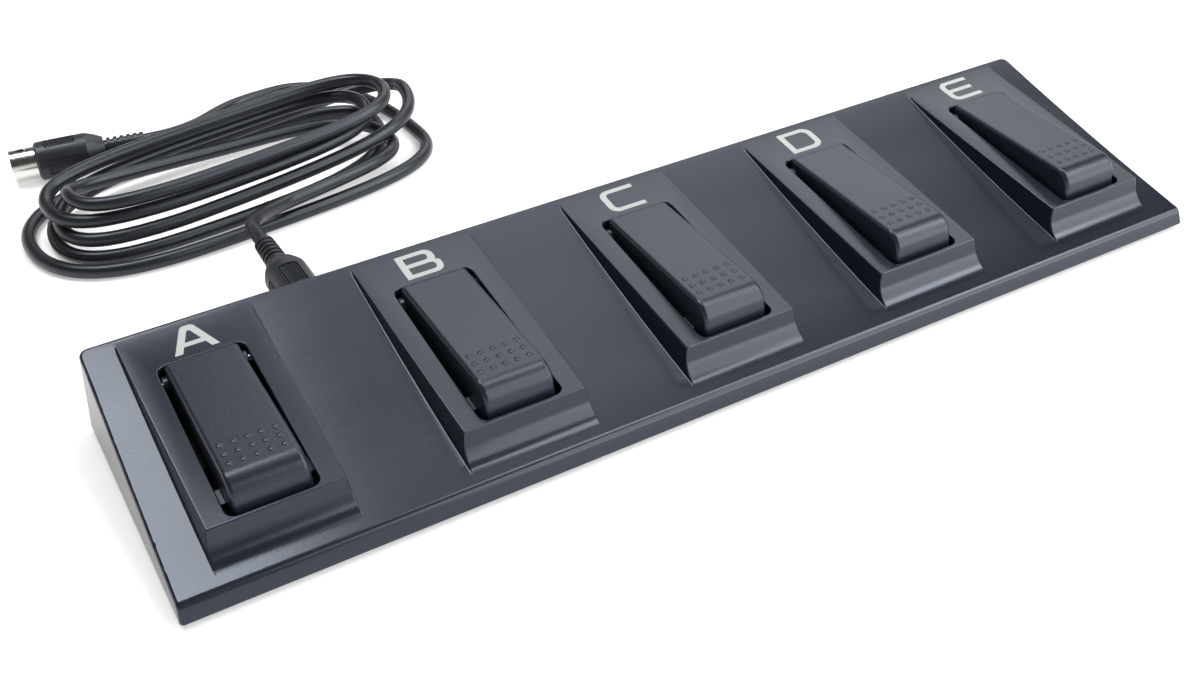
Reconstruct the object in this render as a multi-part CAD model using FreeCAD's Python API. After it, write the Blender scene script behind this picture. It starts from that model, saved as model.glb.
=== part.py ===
import FreeCAD
import Part
import math
import os

# Foot controller: a long wedge-shaped housing with five sprung pedals and a corded DIN plug.
# Frame: origin on the floor under the middle of the housing, +X right, +Y to the rear, +Z up.
# All sizes are in millimetres and degrees.

V = FreeCAD.Vector

# Housing
PEDAL_COUNT = 5
PEDAL_PITCH = 80.0
END_LENGTH = 36.0
HOUSING_DEPTH = 102.2
FOOT_HEIGHT = 2.0
FRONT_FACE_HEIGHT = 5.9
REAR_FACE_HEIGHT = 29.5
FRONT_SETBACK = 2.2
REAR_SETBACK = 0.6
PANEL_SAG = 0.95
END_DRAFT = 5.3
WALL = 2.2
FRONT_EDGE_RADIUS = 3.0
CORNER_RADIUS = 3.0
REAR_EDGE_RADIUS = 1.4

# Raised platform round each pedal
PLATFORM_WIDTH = 45.0
PLATFORM_DRAFT = 8.4
PLATFORM_SETBACK = 14.0
PLATFORM_FRONT_HEIGHT = 17.9
PLATFORM_MERGE = 3.6
COVE_RADIUS = 9.0
COVE_UPRIGHT = 3.15
COVE_DRAFT = 5.0
COVE_END_ANGLE = 78.7
PLATFORM_EDGE_RADIUS = 0.6
WINDOW_WIDTH = 28.4
WINDOW_FRONT = 15.4
WINDOW_REAR = 19.8
WINDOW_RADIUS = 3.0

# Pedal
PEDAL_FRONT_GAP = 0.9
PEDAL_REAR_GAP = 1.7
PEDAL_WIDTH = 24.2
PEDAL_SIDE_DRAFT = 2.5
PEDAL_FRONT_DRAFT = 5.0
PEDAL_REAR_RISE = 2.1
PEDAL_TOP_SLOPE = 1.0
PEDAL_NOSE_RADIUS = 7.0
PEDAL_EDGE_RADIUS = 1.6
PEDAL_WALL = 2.0
PEDAL_TOP_WALL = 2.4
PEDAL_FRONT_BOTTOM = 12.6
PEDAL_REAR_BOTTOM = 20.4
PEDAL_TRAVEL = 5.0

# Pivot
SHAFT_RADIUS = 1.5
SHAFT_END_GAP = 0.8
SHAFT_FROM_WINDOW_REAR = 3.9
SHAFT_CEILING_GAP = 0.613
RUNNING_CLEARANCE = 0.05
BOSS_RADIUS = 3.0
BOSS_END_GAP = 0.5
SADDLE_THICKNESS = 2.0
SADDLE_WIDTH = 8.0
SADDLE_DEPTH = 2.6
SEAT_GAP = 0.1
KEEPER_THICKNESS = 2.8
KEEPER_FOOT = 4.0
KEEPER_FOOT_HEIGHT = 10.0

# Hooks that stop a pedal at the top of its travel
HOOK_LENGTH = 6.0
HOOK_HEIGHT = 2.6
HOOK_REACH = 1.5
HOOK_BEHIND_FRONT = 8.0
HOOK_GAP = 0.3

# Base plate and its fastenings
BASE_THICKNESS = 2.0
BASE_RECESS = 0.3
BASE_CLEARANCE = 0.4
FRONT_SCREW_INSET = 21.1
REAR_SCREW_INSET = 10.1
SCREW_RADIUS = 1.45
SCREW_HEAD_RADIUS = 2.8
SCREW_HEAD_HEIGHT = 1.1
SCREW_LENGTH = 6.0
SCREW_CLEARANCE = 0.05
SCREW_BOSS_RADIUS = 3.5
HEAD_CLEARANCE = 0.2
FOOT_RADIUS = 7.0
FOOT_POCKET = 0.5
FOOT_POCKET_CLEARANCE = 0.2
FOOT_INSET_X = 19.0
FOOT_INSET_Y = 10.5

# Circuit board
BOARD_THICKNESS = 1.6
BOARD_WIDTH = 16.0
BOARD_END_GAP = 20.0
BOARD_HEIGHT = 8.0
BOARD_AHEAD_OF_SHAFT = 19.4
BOARD_POST_RADIUS = 2.5
BOARD_SCREW_RADIUS = 1.2
BOARD_SCREW_HEAD_RADIUS = 2.2
BOARD_SCREW_HEAD_HEIGHT = 1.5
BOARD_SCREW_LENGTH = 5.0

# Switches
SWITCH_SIZE = 12.0
SWITCH_HEIGHT = 5.0
PLUNGER_RADIUS = 3.0
PLUNGER_TOP = 17.5
PLUNGER_LENGTH = 4.9
PLUNGER_BORE_DEPTH = 4.2
ACTUATOR_RADIUS = 2.4
ACTUATOR_GAP = 0.5

# Return springs and rubber stops
SPRING_BEHIND_FRONT = 13.7
SPRING_RADIUS = 4.2
SPRING_WIRE_RADIUS = 0.55
SPIGOT_RADIUS = 2.8
SPIGOT_HEIGHT = 2.5
SPRING_TOP_GAP = 0.05
STOP_RADIUS = 3.5
STOP_BEHIND_FRONT = 3.2
STOP_GAP = 0.25

# Socket in the rear wall
SOCKET_X = -117.6
SOCKET_HEIGHT = 19.0
SOCKET_RING_RADIUS = 8.0
SOCKET_HOLE_CLEARANCE = 0.2
SOCKET_BODY_WIDTH = 17.0
SOCKET_BODY_TOP = 5.6
SOCKET_BODY_DEPTH = 14.6
SOCKET_WALL_GAP = 0.3
SOCKET_SLOT_CLEARANCE = 0.2
SOCKET_CORE_GAP = 0.4
TONGUE_WIDTH = 22.0
TONGUE_POST_INSET = 11.1

# Plugs
SHELL_RADIUS = 6.6
SHELL_WALL = 0.5
SHELL_LENGTH = 9.9
SHELL_WINDOW_LENGTH = 3.6
SHELL_WINDOW_WIDTH = 2.0
INSERT_PROUD = 1.2
INSERT_CLEARANCE = 0.05
PIN_RADIUS = 0.72
PIN_LENGTH = 8.6
PIN_CIRCLE_RADIUS = 3.4
PIN_COUNT = 5
PIN_STEP = 45.0
PIN_HOLE_CLEARANCE = 0.12
BOOT_RADIUS = 8.0
BOOT_LENGTH = 20.6
SHELL_SEAT = 0.8
SHELL_STEP = 0.25
SHELL_NECK = 0.2
BOOT_EDGE = 0.9
BOOT_TAPER_LENGTH = 7.0
BOOT_NECK_RADIUS = 5.0
PAD_LENGTH = 12.5
PAD_ANGLE = 50.0
PAD_DEPTH = 0.55
RELIEF_LENGTH = 16.5
RELIEF_CORE_RADIUS = 3.3
RELIEF_RIB_COUNT = 6
RELIEF_RIB_RADIUS = 4.25
RELIEF_END_RADIUS = 3.75
RELIEF_RIB_THICKNESS = 1.5
NEAR_PLUG_GAP = 1.0
FAR_PLUG_X = -173.7
FAR_PLUG_Y = 224.6
FAR_PLUG_HEADING = 172.5
FAR_PLUG_LIFT = 0.05

# Cord
CORD_DIAMETER = 5.5
CORD_SIDES = 8
LEAD_OUT = 8.5
LEAD_IN = 7.0
TAIL_OUT = 8.5
TAIL_IN = 9.0
COIL_LAYER_GAP = 0.5
COIL_HEADINGS = (90.0, 184.0, 270.0, 4.0)
COIL_START = (-84.0, 144.0, 1.0)
COIL_START_HEADING = 12.0
COIL_END = (-66.0, 242.0, 0.0)
ARC_SHARE = 0.45

# The coil as it lies, counted from the housing: the right, back, left and front of each loop,
# with its height counted in layers of the pile
COIL_LOOPS = [
    ((-42, 164, 0.97), (-98, 186, 1.33), (-171, 169, 3.05), (-127, 152, 3.07)),
    ((-39, 172, 4.10), (-88, 199, 3.17), (-179, 173, 2.05), (-128.5, 152, 2.08)),
    ((-48, 178, 2.82), (-89, 200, 2.05), (-177, 166, 1.02), (-132, 148.5, 1.02)),
    ((-27, 191, 2.25), (-91, 205, 1.02), (-180, 167, 0.00), (-134, 146, 0.00)),
    ((-39, 197, 0.00), (-92, 212, 0.00), (-189.5, 170, 0.00), (-133, 135.5, 0.00)),
    ((-25, 179, 0.00),),
]

# The lead from the plug to the coil and the tail from the coil to the free plug, point by point
LEAD_POINTS = [(-117.0, 113.2, 17.8), (-114.4, 122.4, 15.4), (-109.6, 130.6, 12.9), (-103.4, 137.1, 10.6)]
TAIL_POINTS = [(-88.4, 238.0, 3.2), (-96.0, 232.4, 4.4), (-102.6, 225.9, 5.9), (-111.0, 220.6, 7.2)]

BASE_BOTTOM = FOOT_HEIGHT + BASE_RECESS
BASE_TOP = BASE_BOTTOM + BASE_THICKNESS
SCREW_SEAT = BASE_BOTTOM + SCREW_HEAD_HEIGHT + 0.1
BOARD_TOP = BOARD_HEIGHT + BOARD_THICKNESS
HOUSING_LENGTH = (PEDAL_COUNT - 1) * PEDAL_PITCH + 2 * END_LENGTH
HALF_LENGTH = HOUSING_LENGTH / 2
HALF_DEPTH = HOUSING_DEPTH / 2
PANEL_FRONT = V(0, FRONT_SETBACK - HALF_DEPTH, FOOT_HEIGHT + FRONT_FACE_HEIGHT)
PANEL_REAR = V(0, HALF_DEPTH - REAR_SETBACK, FOOT_HEIGHT + REAR_FACE_HEIGHT)
PLATFORM_FRONT_Y = PLATFORM_SETBACK - HALF_DEPTH
PLATFORM_FRONT_Z = FOOT_HEIGHT + PLATFORM_FRONT_HEIGHT
WINDOW_FRONT_Y = WINDOW_FRONT - HALF_DEPTH
WINDOW_REAR_Y = HALF_DEPTH - WINDOW_REAR
SHAFT_Y = WINDOW_REAR_Y - SHAFT_FROM_WINDOW_REAR
SPRING_Y = WINDOW_FRONT_Y + SPRING_BEHIND_FRONT
STOP_Y = WINDOW_FRONT_Y + STOP_BEHIND_FRONT
BOARD_CENTRE_Y = SHAFT_Y - BOARD_AHEAD_OF_SHAFT
FRONT_SCREW_Y = FRONT_SCREW_INSET - HALF_DEPTH
REAR_SCREW_Y = HALF_DEPTH - REAR_SCREW_INSET
TONGUE_POST_Y = HALF_DEPTH - TONGUE_POST_INSET
PEDAL_XS = [PEDAL_PITCH * (i - (PEDAL_COUNT - 1) / 2) for i in range(PEDAL_COUNT)]
BETWEEN_XS = [(a + b) / 2 for a, b in zip(PEDAL_XS, PEDAL_XS[1:])]


# Small geometry helpers
def tan(degrees):
    return math.tan(math.radians(degrees))


def heading(degrees, rise=0.0):
    """A unit vector at a compass angle in the floor plane, climbing by rise per unit of run."""
    a = math.radians(degrees)
    return V(math.cos(a), math.sin(a), rise).normalize()


def box(x0, x1, y0, y1, z0, z1):
    return Part.makeBox(x1 - x0, y1 - y0, z1 - z0, V(x0, y0, z0))


def upright(radius, x, y, z0, z1):
    return Part.makeCylinder(radius, z1 - z0, V(x, y, z0))


def along_x(radius, x0, x1, y, z):
    return Part.makeCylinder(radius, x1 - x0, V(x0, y, z), V(1, 0, 0))


def prism(points, direction):
    """The solid that a closed outline sweeps along a straight direction."""
    wire = Part.makePolygon(points + [points[0]])
    return Part.Face(wire).extrude(direction)


def joined(first, others):
    shape = first.fuse(others) if others else first
    return shape.removeSplitter()


def round_edges(shape, radii):
    """Round edges in one step: radii is a list of (test, radius) and the first test met is used."""
    document = FreeCAD.newDocument("rounding")
    base = document.addObject("Part::Feature", "base")
    base.Shape = shape
    rounded = document.addObject("Part::Fillet", "rounded")
    rounded.Base = base
    chosen = []
    for number, edge in enumerate(shape.Edges, 1):
        for test, radius in radii:
            if test(edge):
                chosen.append((number, radius, radius))
                break
    rounded.Edges = chosen
    document.recompute()
    result = rounded.Shape.copy()
    FreeCAD.closeDocument(document.Name)
    return result


def runs_along(edge, axis):
    """True where a straight edge runs within a fifth of a right angle of an axis."""
    ends = [v.Point for v in edge.Vertexes]
    if len(ends) < 2:
        return False
    way = ends[1] - ends[0]
    return abs(way.dot(axis)) > 0.95 * way.Length


# The sloping top panel, a shallow hollow arc from front to rear
def panel_circle():
    chord = PANEL_REAR - PANEL_FRONT
    half = chord.Length / 2
    radius = (half ** 2 + PANEL_SAG ** 2) / (2 * PANEL_SAG)
    upward = V(0, -chord.z, chord.y).normalize()
    centre = (PANEL_FRONT + PANEL_REAR) / 2 + upward * (radius - PANEL_SAG)
    return centre, radius


PANEL_CENTRE, PANEL_RADIUS = panel_circle()


def panel_z(y, depth=0.0):
    """Height of the panel at y, or of the surface a depth below it."""
    radius = PANEL_RADIUS + depth
    return PANEL_CENTRE.z - math.sqrt(radius ** 2 - (y - PANEL_CENTRE.y) ** 2)


PLATFORM_MERGE_Y = HALF_DEPTH - PLATFORM_MERGE
PLATFORM_SLOPE = (panel_z(PLATFORM_MERGE_Y) - PLATFORM_FRONT_Z) / (PLATFORM_MERGE_Y - PLATFORM_FRONT_Y)


def platform_z(y):
    return PLATFORM_FRONT_Z + PLATFORM_SLOPE * (y - PLATFORM_FRONT_Y)


SHAFT_HEIGHT = platform_z(SHAFT_Y) - WALL - SHAFT_CEILING_GAP - SHAFT_RADIUS


def end_faces(inset, low, high):
    """A prism between the two sloping ends of the housing, drawn in by the wall thickness."""
    reach = HALF_LENGTH - inset
    lean = tan(END_DRAFT)
    top = reach - (high - FOOT_HEIGHT) * lean
    foot = reach + (FOOT_HEIGHT - low) * lean
    outline = [V(-foot, -HOUSING_DEPTH, low), V(foot, -HOUSING_DEPTH, low),
               V(top, -HOUSING_DEPTH, high), V(-top, -HOUSING_DEPTH, high)]
    return prism(outline, V(0, 2 * HOUSING_DEPTH, 0))


def wedge(inset, low):
    """The plain wedge of the housing, drawn in on every side by inset and starting at height low."""
    front_y = PANEL_FRONT.y + inset
    rear_y = PANEL_REAR.y - inset
    middle_y = (front_y + rear_y) / 2
    corners = [V(-HALF_LENGTH, y, z) for y, z in (
        (front_y, panel_z(front_y, inset)), (-HALF_DEPTH + inset, low),
        (HALF_DEPTH - inset, low), (rear_y, panel_z(rear_y, inset)))]
    top = Part.Arc(corners[3], V(-HALF_LENGTH, middle_y, panel_z(middle_y, inset)), corners[0])
    sides = [Part.makeLine(a, b) for a, b in zip(corners, corners[1:])]
    profile = Part.Face(Part.Wire(sides + [top.toShape()]))
    block = profile.extrude(V(HOUSING_LENGTH, 0, 0))
    return block.common(end_faces(inset, low - 1, PANEL_REAR.z + WALL))


def platform(x, inset, low):
    """One raised platform, or with an inset the hollow inside it."""
    slope = (PANEL_REAR.z - PANEL_FRONT.z) / (PANEL_REAR.y - PANEL_FRONT.y)
    lean = tan(PLATFORM_DRAFT)
    reach = PLATFORM_WIDTH / 2 - inset
    base_z = panel_z(-HALF_DEPTH)
    tall = 2 * REAR_FACE_HEIGHT
    wide, narrow = reach + tall * lean, reach - tall * lean
    section = [V(x - wide, -HALF_DEPTH, base_z - tall), V(x + wide, -HALF_DEPTH, base_z - tall),
               V(x + narrow, -HALF_DEPTH, base_z + tall), V(x - narrow, -HALF_DEPTH, base_z + tall)]
    walls = prism(section, V(0, HOUSING_DEPTH, HOUSING_DEPTH * slope))

    cove_top = V(x - wide, PLATFORM_FRONT_Y, PLATFORM_FRONT_Z)
    down = V(0, -math.sin(math.radians(COVE_DRAFT)), -math.cos(math.radians(COVE_DRAFT)))
    inward = V(0, -down.z, down.y)
    centre = cove_top + down * COVE_UPRIGHT - inward * COVE_RADIUS
    radius = COVE_RADIUS + inset

    def on_cove(degrees):
        a = math.radians(degrees)
        return centre + V(0, math.cos(a), -math.sin(a)) * radius

    start = on_cove(COVE_DRAFT)
    foot = on_cove(COVE_END_ANGLE)
    rear_y = HALF_DEPTH - REAR_SETBACK - WALL
    rise = (platform_z(start.y) - inset - start.z) / (-down.z - PLATFORM_SLOPE * -down.y)
    top = start - down * rise
    corners = [V(foot.x, foot.y, low), V(foot.x, rear_y, low),
               V(foot.x, rear_y, platform_z(rear_y) - inset), top, start]
    arc = Part.Arc(start, on_cove((COVE_DRAFT + COVE_END_ANGLE) / 2), foot)
    lines = [Part.makeLine(foot, corners[0])] + [Part.makeLine(a, b) for a, b in zip(corners, corners[1:])]
    profile = Part.Face(Part.Wire(lines + [arc.toShape()]))
    return walls.common(profile.extrude(V(2 * wide, 0, 0)))


def softened_platform(x):
    block = platform(x, 0.0, FOOT_HEIGHT + WALL)
    top_z = platform_z(PLATFORM_FRONT_Y) - 1

    def on_top(edge):
        middle = edge.valueAt((edge.FirstParameter + edge.LastParameter) / 2)
        on_plane = abs(middle.z - platform_z(middle.y)) < 0.01
        return on_plane and middle.z > top_z and middle.y < HALF_DEPTH - PLATFORM_MERGE

    return round_edges(block, [(on_top, PLATFORM_EDGE_RADIUS)])


def window(x):
    half = WINDOW_WIDTH / 2
    block = box(x - half, x + half, WINDOW_FRONT_Y, WINDOW_REAR_Y, BASE_TOP, PANEL_REAR.z + WALL)
    corners = [e for e in block.Edges if runs_along(e, V(0, 0, 1))]
    return block.makeFillet(WINDOW_RADIUS, corners)


def base_screw_places():
    front = [(x, FRONT_SCREW_Y) for x in BETWEEN_XS]
    rear = [(x, REAR_SCREW_Y) for x in (PEDAL_XS[0], PEDAL_XS[-1])]
    return front + rear


def top_housing():
    body = wedge(0.0, FOOT_HEIGHT)
    across, upwards = V(1, 0, 0), V(0, 0, 1)
    front_z, rear_z = PANEL_FRONT.z, PANEL_REAR.z

    def is_bottom(edge):
        return edge.BoundBox.ZMax < FOOT_HEIGHT + 0.01

    def front_top(edge):
        return runs_along(edge, across) and abs(edge.BoundBox.ZMax - front_z) < 0.5

    def rear_top(edge):
        return runs_along(edge, across) and abs(edge.BoundBox.ZMax - rear_z) < 0.5

    def corner(edge):
        return not is_bottom(edge) and runs_along(edge, upwards)

    def end_top(edge):
        return not is_bottom(edge) and not runs_along(edge, across)

    body = round_edges(body, [(front_top, FRONT_EDGE_RADIUS), (rear_top, REAR_EDGE_RADIUS),
                              (corner, CORNER_RADIUS), (end_top, REAR_EDGE_RADIUS)])
    body = body.fuse([softened_platform(x) for x in PEDAL_XS])
    hollow = wedge(WALL, BASE_BOTTOM - WALL)
    hollow = hollow.fuse([platform(x, WALL, BASE_TOP) for x in PEDAL_XS])
    shell = body.cut(hollow)
    shell = shell.cut([window(x) for x in PEDAL_XS])

    core = wedge(WALL / 2, FOOT_HEIGHT)
    bosses = []
    for x, y in base_screw_places():
        bosses.append(upright(SCREW_BOSS_RADIUS, x, y, BASE_TOP, panel_z(y)).common(core))
    shell = shell.fuse(bosses)
    saddles = [saddle(x, side) for x in PEDAL_XS for side in (-1, 1)]
    shell = shell.fuse(saddles)
    hole = SCREW_RADIUS + SCREW_CLEARANCE
    drilled = [upright(hole, x, y, BASE_TOP - 1, SCREW_SEAT + SCREW_LENGTH + 0.5)
               for x, y in base_screw_places()]
    drilled.append(Part.makeCylinder(SOCKET_RING_RADIUS + SOCKET_HOLE_CLEARANCE, 3 * WALL,
                                     V(SOCKET_X, HALF_DEPTH - 2 * WALL, SOCKET_HEIGHT), V(0, 1, 0)))
    return shell.cut(drilled).removeSplitter()


def saddle_inner():
    return WINDOW_WIDTH / 2


def saddle(x, side):
    """A rib under the platform with a notch that the pivot shaft sits up into."""
    near = saddle_inner()
    x0, x1 = sorted((x + side * near, x + side * (near + SADDLE_THICKNESS)))
    y0, y1 = SHAFT_Y - SADDLE_WIDTH / 2, SHAFT_Y + SADDLE_WIDTH / 2
    rib = box(x0, x1, y0, y1, SHAFT_HEIGHT - SADDLE_DEPTH, platform_z(y0) - WALL / 2)
    bore = SHAFT_RADIUS + SEAT_GAP
    notch = box(x0, x1, SHAFT_Y - bore, SHAFT_Y + bore,
                SHAFT_HEIGHT - SADDLE_DEPTH, SHAFT_HEIGHT)
    return rib.cut([notch, along_x(bore, x0, x1, SHAFT_Y, SHAFT_HEIGHT)])


def half_width(z, outer):
    """Half width of a pedal at height z, wider towards the bottom by its draft."""
    return outer + (platform_z(0.0) - z) * tan(PEDAL_SIDE_DRAFT)


# A pedal: a deep cap that turns about the shaft at its rear
PEDAL_REAR_Y = WINDOW_REAR_Y - PEDAL_REAR_GAP
PEDAL_FRONT_Y = WINDOW_FRONT_Y + PEDAL_FRONT_GAP
PEDAL_REAR_Z = platform_z(PEDAL_REAR_Y) + PEDAL_REAR_RISE


def pedal_top(y):
    return PEDAL_REAR_Z - (PEDAL_REAR_Y - y) * tan(PEDAL_TOP_SLOPE)


def pedal_block(x, inset, top_inset, low):
    """The pedal's outer form with sharp edges, or with insets the hollow inside it."""
    lean = tan(PEDAL_FRONT_DRAFT)
    front_y = PEDAL_FRONT_Y + inset
    rear_y = PEDAL_REAR_Y - inset
    foot_z, heel_z = PEDAL_FRONT_BOTTOM - low, PEDAL_REAR_BOTTOM - low
    crest_y = front_y + (pedal_top(front_y) - foot_z) * lean
    crest_z = pedal_top(crest_y) - top_inset
    left = x - PEDAL_WIDTH
    side = [V(left, front_y, foot_z), V(left, rear_y, heel_z),
            V(left, rear_y, pedal_top(rear_y) - top_inset), V(left, crest_y, crest_z)]
    block = prism(side, V(2 * PEDAL_WIDTH, 0, 0))
    outer = PEDAL_WIDTH / 2 - inset
    low_z, high_z = foot_z - 1, PEDAL_REAR_Z + 1
    wide, narrow = half_width(low_z, outer), half_width(high_z, outer)
    section = [V(x - wide, -HALF_DEPTH, low_z), V(x + wide, -HALF_DEPTH, low_z),
               V(x + narrow, -HALF_DEPTH, high_z), V(x - narrow, -HALF_DEPTH, high_z)]
    return block.common(prism(section, V(0, HOUSING_DEPTH, 0)))


SPRING_TOP = pedal_top(SPRING_Y - SPRING_RADIUS - SPRING_WIRE_RADIUS) - PEDAL_TOP_WALL - SPRING_TOP_GAP


def pressed(y, z):
    """Where a point of a pedal is with the pedal fully down."""
    a = math.radians(PEDAL_TRAVEL)
    dy, dz = y - SHAFT_Y, z - SHAFT_HEIGHT
    return (SHAFT_Y + dy * math.cos(a) - dz * math.sin(a),
            SHAFT_HEIGHT + dy * math.sin(a) + dz * math.cos(a))


def pedal(x):
    outer = pedal_block(x, 0.0, 0.0, 0.0)
    hollow = pedal_block(x, PEDAL_WALL, PEDAL_TOP_WALL, PEDAL_WALL)

    def nose(edge):
        middle = (edge.Vertexes[0].Point + edge.Vertexes[1].Point) / 2
        return abs(middle.x - x) < 0.01 and middle.y < SPRING_Y and middle.z > SHAFT_HEIGHT

    def rim(edge):
        return not runs_along(edge, V(1, 0, 0)) and edge.BoundBox.ZMax > SHAFT_HEIGHT

    def rear_top(edge):
        return runs_along(edge, V(1, 0, 0)) and edge.BoundBox.ZMax > SHAFT_HEIGHT

    outer = round_edges(outer, [(nose, PEDAL_NOSE_RADIUS), (rim, PEDAL_EDGE_RADIUS), (rear_top, PEDAL_EDGE_RADIUS)])
    hollow = round_edges(hollow, [(nose, PEDAL_NOSE_RADIUS - PEDAL_WALL)])
    shell = outer.cut(hollow)
    hub = WINDOW_WIDTH / 2 - BOSS_END_GAP
    inner = half_width(SHAFT_HEIGHT, PEDAL_WIDTH / 2 - PEDAL_WALL)
    extra = []
    for side in (-1, 1):
        x0, x1 = sorted((x + side * inner, x + side * hub))
        extra.append(along_x(BOSS_RADIUS, x0, x1, SHAFT_Y, SHAFT_HEIGHT))
        extra.append(hook(x, side))
    extra.append(upright(SPIGOT_RADIUS, x, SPRING_Y, SPRING_TOP - SPIGOT_HEIGHT,
                         pedal_top(SPRING_Y) - PEDAL_TOP_WALL / 2))
    extra.append(upright(ACTUATOR_RADIUS, x, BOARD_CENTRE_Y, PLUNGER_TOP + ACTUATOR_GAP,
                         pedal_top(BOARD_CENTRE_Y) - PEDAL_TOP_WALL / 2))
    shell = shell.fuse(extra)
    bore = along_x(SHAFT_RADIUS + RUNNING_CLEARANCE, x - PEDAL_WIDTH, x + PEDAL_WIDTH,
                   SHAFT_Y, SHAFT_HEIGHT)
    return shell.cut(bore).removeSplitter()


def hook(x, side):
    """A lug under the platform that stops the pedal at rest."""
    y0 = WINDOW_FRONT_Y + HOOK_BEHIND_FRONT
    y1 = y0 + HOOK_LENGTH
    root = PEDAL_WIDTH / 2 - PEDAL_WALL / 2
    tip = WINDOW_WIDTH / 2 + HOOK_REACH
    x0 = x + side * root
    outline = []
    for y, drop in ((y0, 0.0), (y1, 0.0), (y1, HOOK_HEIGHT), (y0, HOOK_HEIGHT)):
        outline.append(V(x0, y, platform_z(y) - WALL - HOOK_GAP - drop))
    return prism(outline, V(side * (tip - root), 0, 0))


def pivot_shafts():
    length = PLATFORM_WIDTH - 2 * WALL - 2 * SHAFT_END_GAP
    return [along_x(SHAFT_RADIUS, x - length / 2, x + length / 2, SHAFT_Y, SHAFT_HEIGHT)
            for x in PEDAL_XS]


# The base plate with its keepers, posts and spring seats
def foot_places():
    reach_x = HALF_LENGTH - FOOT_INSET_X
    reach_y = HALF_DEPTH - FOOT_INSET_Y
    return [(x, y) for x in (-reach_x, reach_x) for y in (-reach_y, reach_y)]


def board_post_places():
    return [(x, BOARD_CENTRE_Y) for x in BETWEEN_XS]


def keeper(x, side):
    """A post on the base plate that closes a saddle from below, wider at its foot."""
    near = saddle_inner()
    y, half = SHAFT_Y, KEEPER_THICKNESS / 2
    top = SHAFT_HEIGHT - SHAFT_RADIUS - SEAT_GAP
    shoulder = BASE_TOP + KEEPER_FOOT_HEIGHT
    x0 = x + side * near
    outline = [V(x0, y - KEEPER_FOOT, BASE_TOP - BASE_THICKNESS / 2), V(x0, y - half, shoulder),
               V(x0, y - half, top), V(x0, y + half, top),
               V(x0, y + half, shoulder), V(x0, y + KEEPER_FOOT, BASE_TOP - BASE_THICKNESS / 2)]
    return prism(outline, V(side * SADDLE_THICKNESS, 0, 0))


def base_plate():
    slab = wedge(WALL + BASE_CLEARANCE, BASE_BOTTOM - WALL)
    plate = slab.common(box(-HALF_LENGTH, HALF_LENGTH, -HALF_DEPTH, HALF_DEPTH, BASE_BOTTOM, BASE_TOP))
    posts = [keeper(x, side) for x in PEDAL_XS for side in (-1, 1)]
    posts += [upright(BOARD_POST_RADIUS, x, y, BASE_BOTTOM, BOARD_HEIGHT) for x, y in board_post_places()]
    posts.append(upright(BOARD_POST_RADIUS, SOCKET_X, TONGUE_POST_Y, BASE_BOTTOM, BOARD_HEIGHT))
    posts += [upright(SPIGOT_RADIUS, x, SPRING_Y, BASE_BOTTOM, BASE_TOP + SPIGOT_HEIGHT) for x in PEDAL_XS]
    plate = plate.fuse(posts)
    cuts = []
    for x, y in base_screw_places():
        cuts.append(upright(SCREW_RADIUS + SCREW_CLEARANCE, x, y, BASE_BOTTOM - 1, BASE_TOP + 1))
        cuts.append(upright(SCREW_HEAD_RADIUS + HEAD_CLEARANCE, x, y, BASE_BOTTOM - 1, SCREW_SEAT))
    for x, y in board_post_places():
        hole = BOARD_SCREW_RADIUS + SCREW_CLEARANCE
        cuts.append(upright(hole, x, y, BOARD_TOP - BOARD_SCREW_LENGTH - 0.3, BOARD_TOP))
    for x, y in foot_places():
        cuts.append(upright(FOOT_RADIUS + FOOT_POCKET_CLEARANCE, x, y, BASE_BOTTOM - 1, BASE_BOTTOM + FOOT_POCKET))
    return plate.cut(cuts).removeSplitter()


def rubber_feet():
    return [upright(FOOT_RADIUS, x, y, 0.0, BASE_BOTTOM + FOOT_POCKET) for x, y in foot_places()]


def screw(radius, head_radius, head_height, length, x, y, seat, down):
    """A pan-head screw with its head under or over the seat."""
    if down:
        parts = [upright(radius, x, y, seat - length, seat), upright(head_radius, x, y, seat, seat + head_height)]
    else:
        parts = [upright(radius, x, y, seat, seat + length), upright(head_radius, x, y, seat - head_height, seat)]
    return joined(parts[0], parts[1:])


# Circuit board with the socket's tongue, and the five switches on it
BOARD_HALF_LENGTH = HALF_LENGTH - BOARD_END_GAP


def board_outline(z0, z1):
    strip = box(-BOARD_HALF_LENGTH, BOARD_HALF_LENGTH, BOARD_CENTRE_Y - BOARD_WIDTH / 2,
                BOARD_CENTRE_Y + BOARD_WIDTH / 2, z0, z1)
    rear = HALF_DEPTH - 2 * WALL
    tongue = box(SOCKET_X - TONGUE_WIDTH / 2, SOCKET_X + TONGUE_WIDTH / 2, BOARD_CENTRE_Y, rear, z0, z1)
    return joined(strip, [tongue])


def circuit_board():
    board = board_outline(BOARD_HEIGHT, BOARD_TOP)
    holes = [upright(BOARD_SCREW_RADIUS + SCREW_CLEARANCE, x, y, BOARD_HEIGHT - 1, BOARD_TOP + 1)
             for x, y in board_post_places()]
    return board.cut(holes)


def switch_body(x):
    half = SWITCH_SIZE / 2
    body = box(x - half, x + half, BOARD_CENTRE_Y - half, BOARD_CENTRE_Y + half, BOARD_TOP, BOARD_TOP + SWITCH_HEIGHT)
    corners = [e for e in body.Edges if runs_along(e, V(0, 0, 1))]
    body = body.makeChamfer(1.0, corners)
    top = BOARD_TOP + SWITCH_HEIGHT
    return body.cut(upright(PLUNGER_RADIUS + RUNNING_CLEARANCE, x, BOARD_CENTRE_Y, top - PLUNGER_BORE_DEPTH, top + 1))


def switch_plunger(x):
    return upright(PLUNGER_RADIUS, x, BOARD_CENTRE_Y, PLUNGER_TOP - PLUNGER_LENGTH, PLUNGER_TOP)


def stop_pad(x):
    low = pressed(PEDAL_FRONT_Y, PEDAL_FRONT_BOTTOM)[1]
    return upright(STOP_RADIUS, x, STOP_Y, BASE_TOP, low - STOP_GAP)


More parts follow.
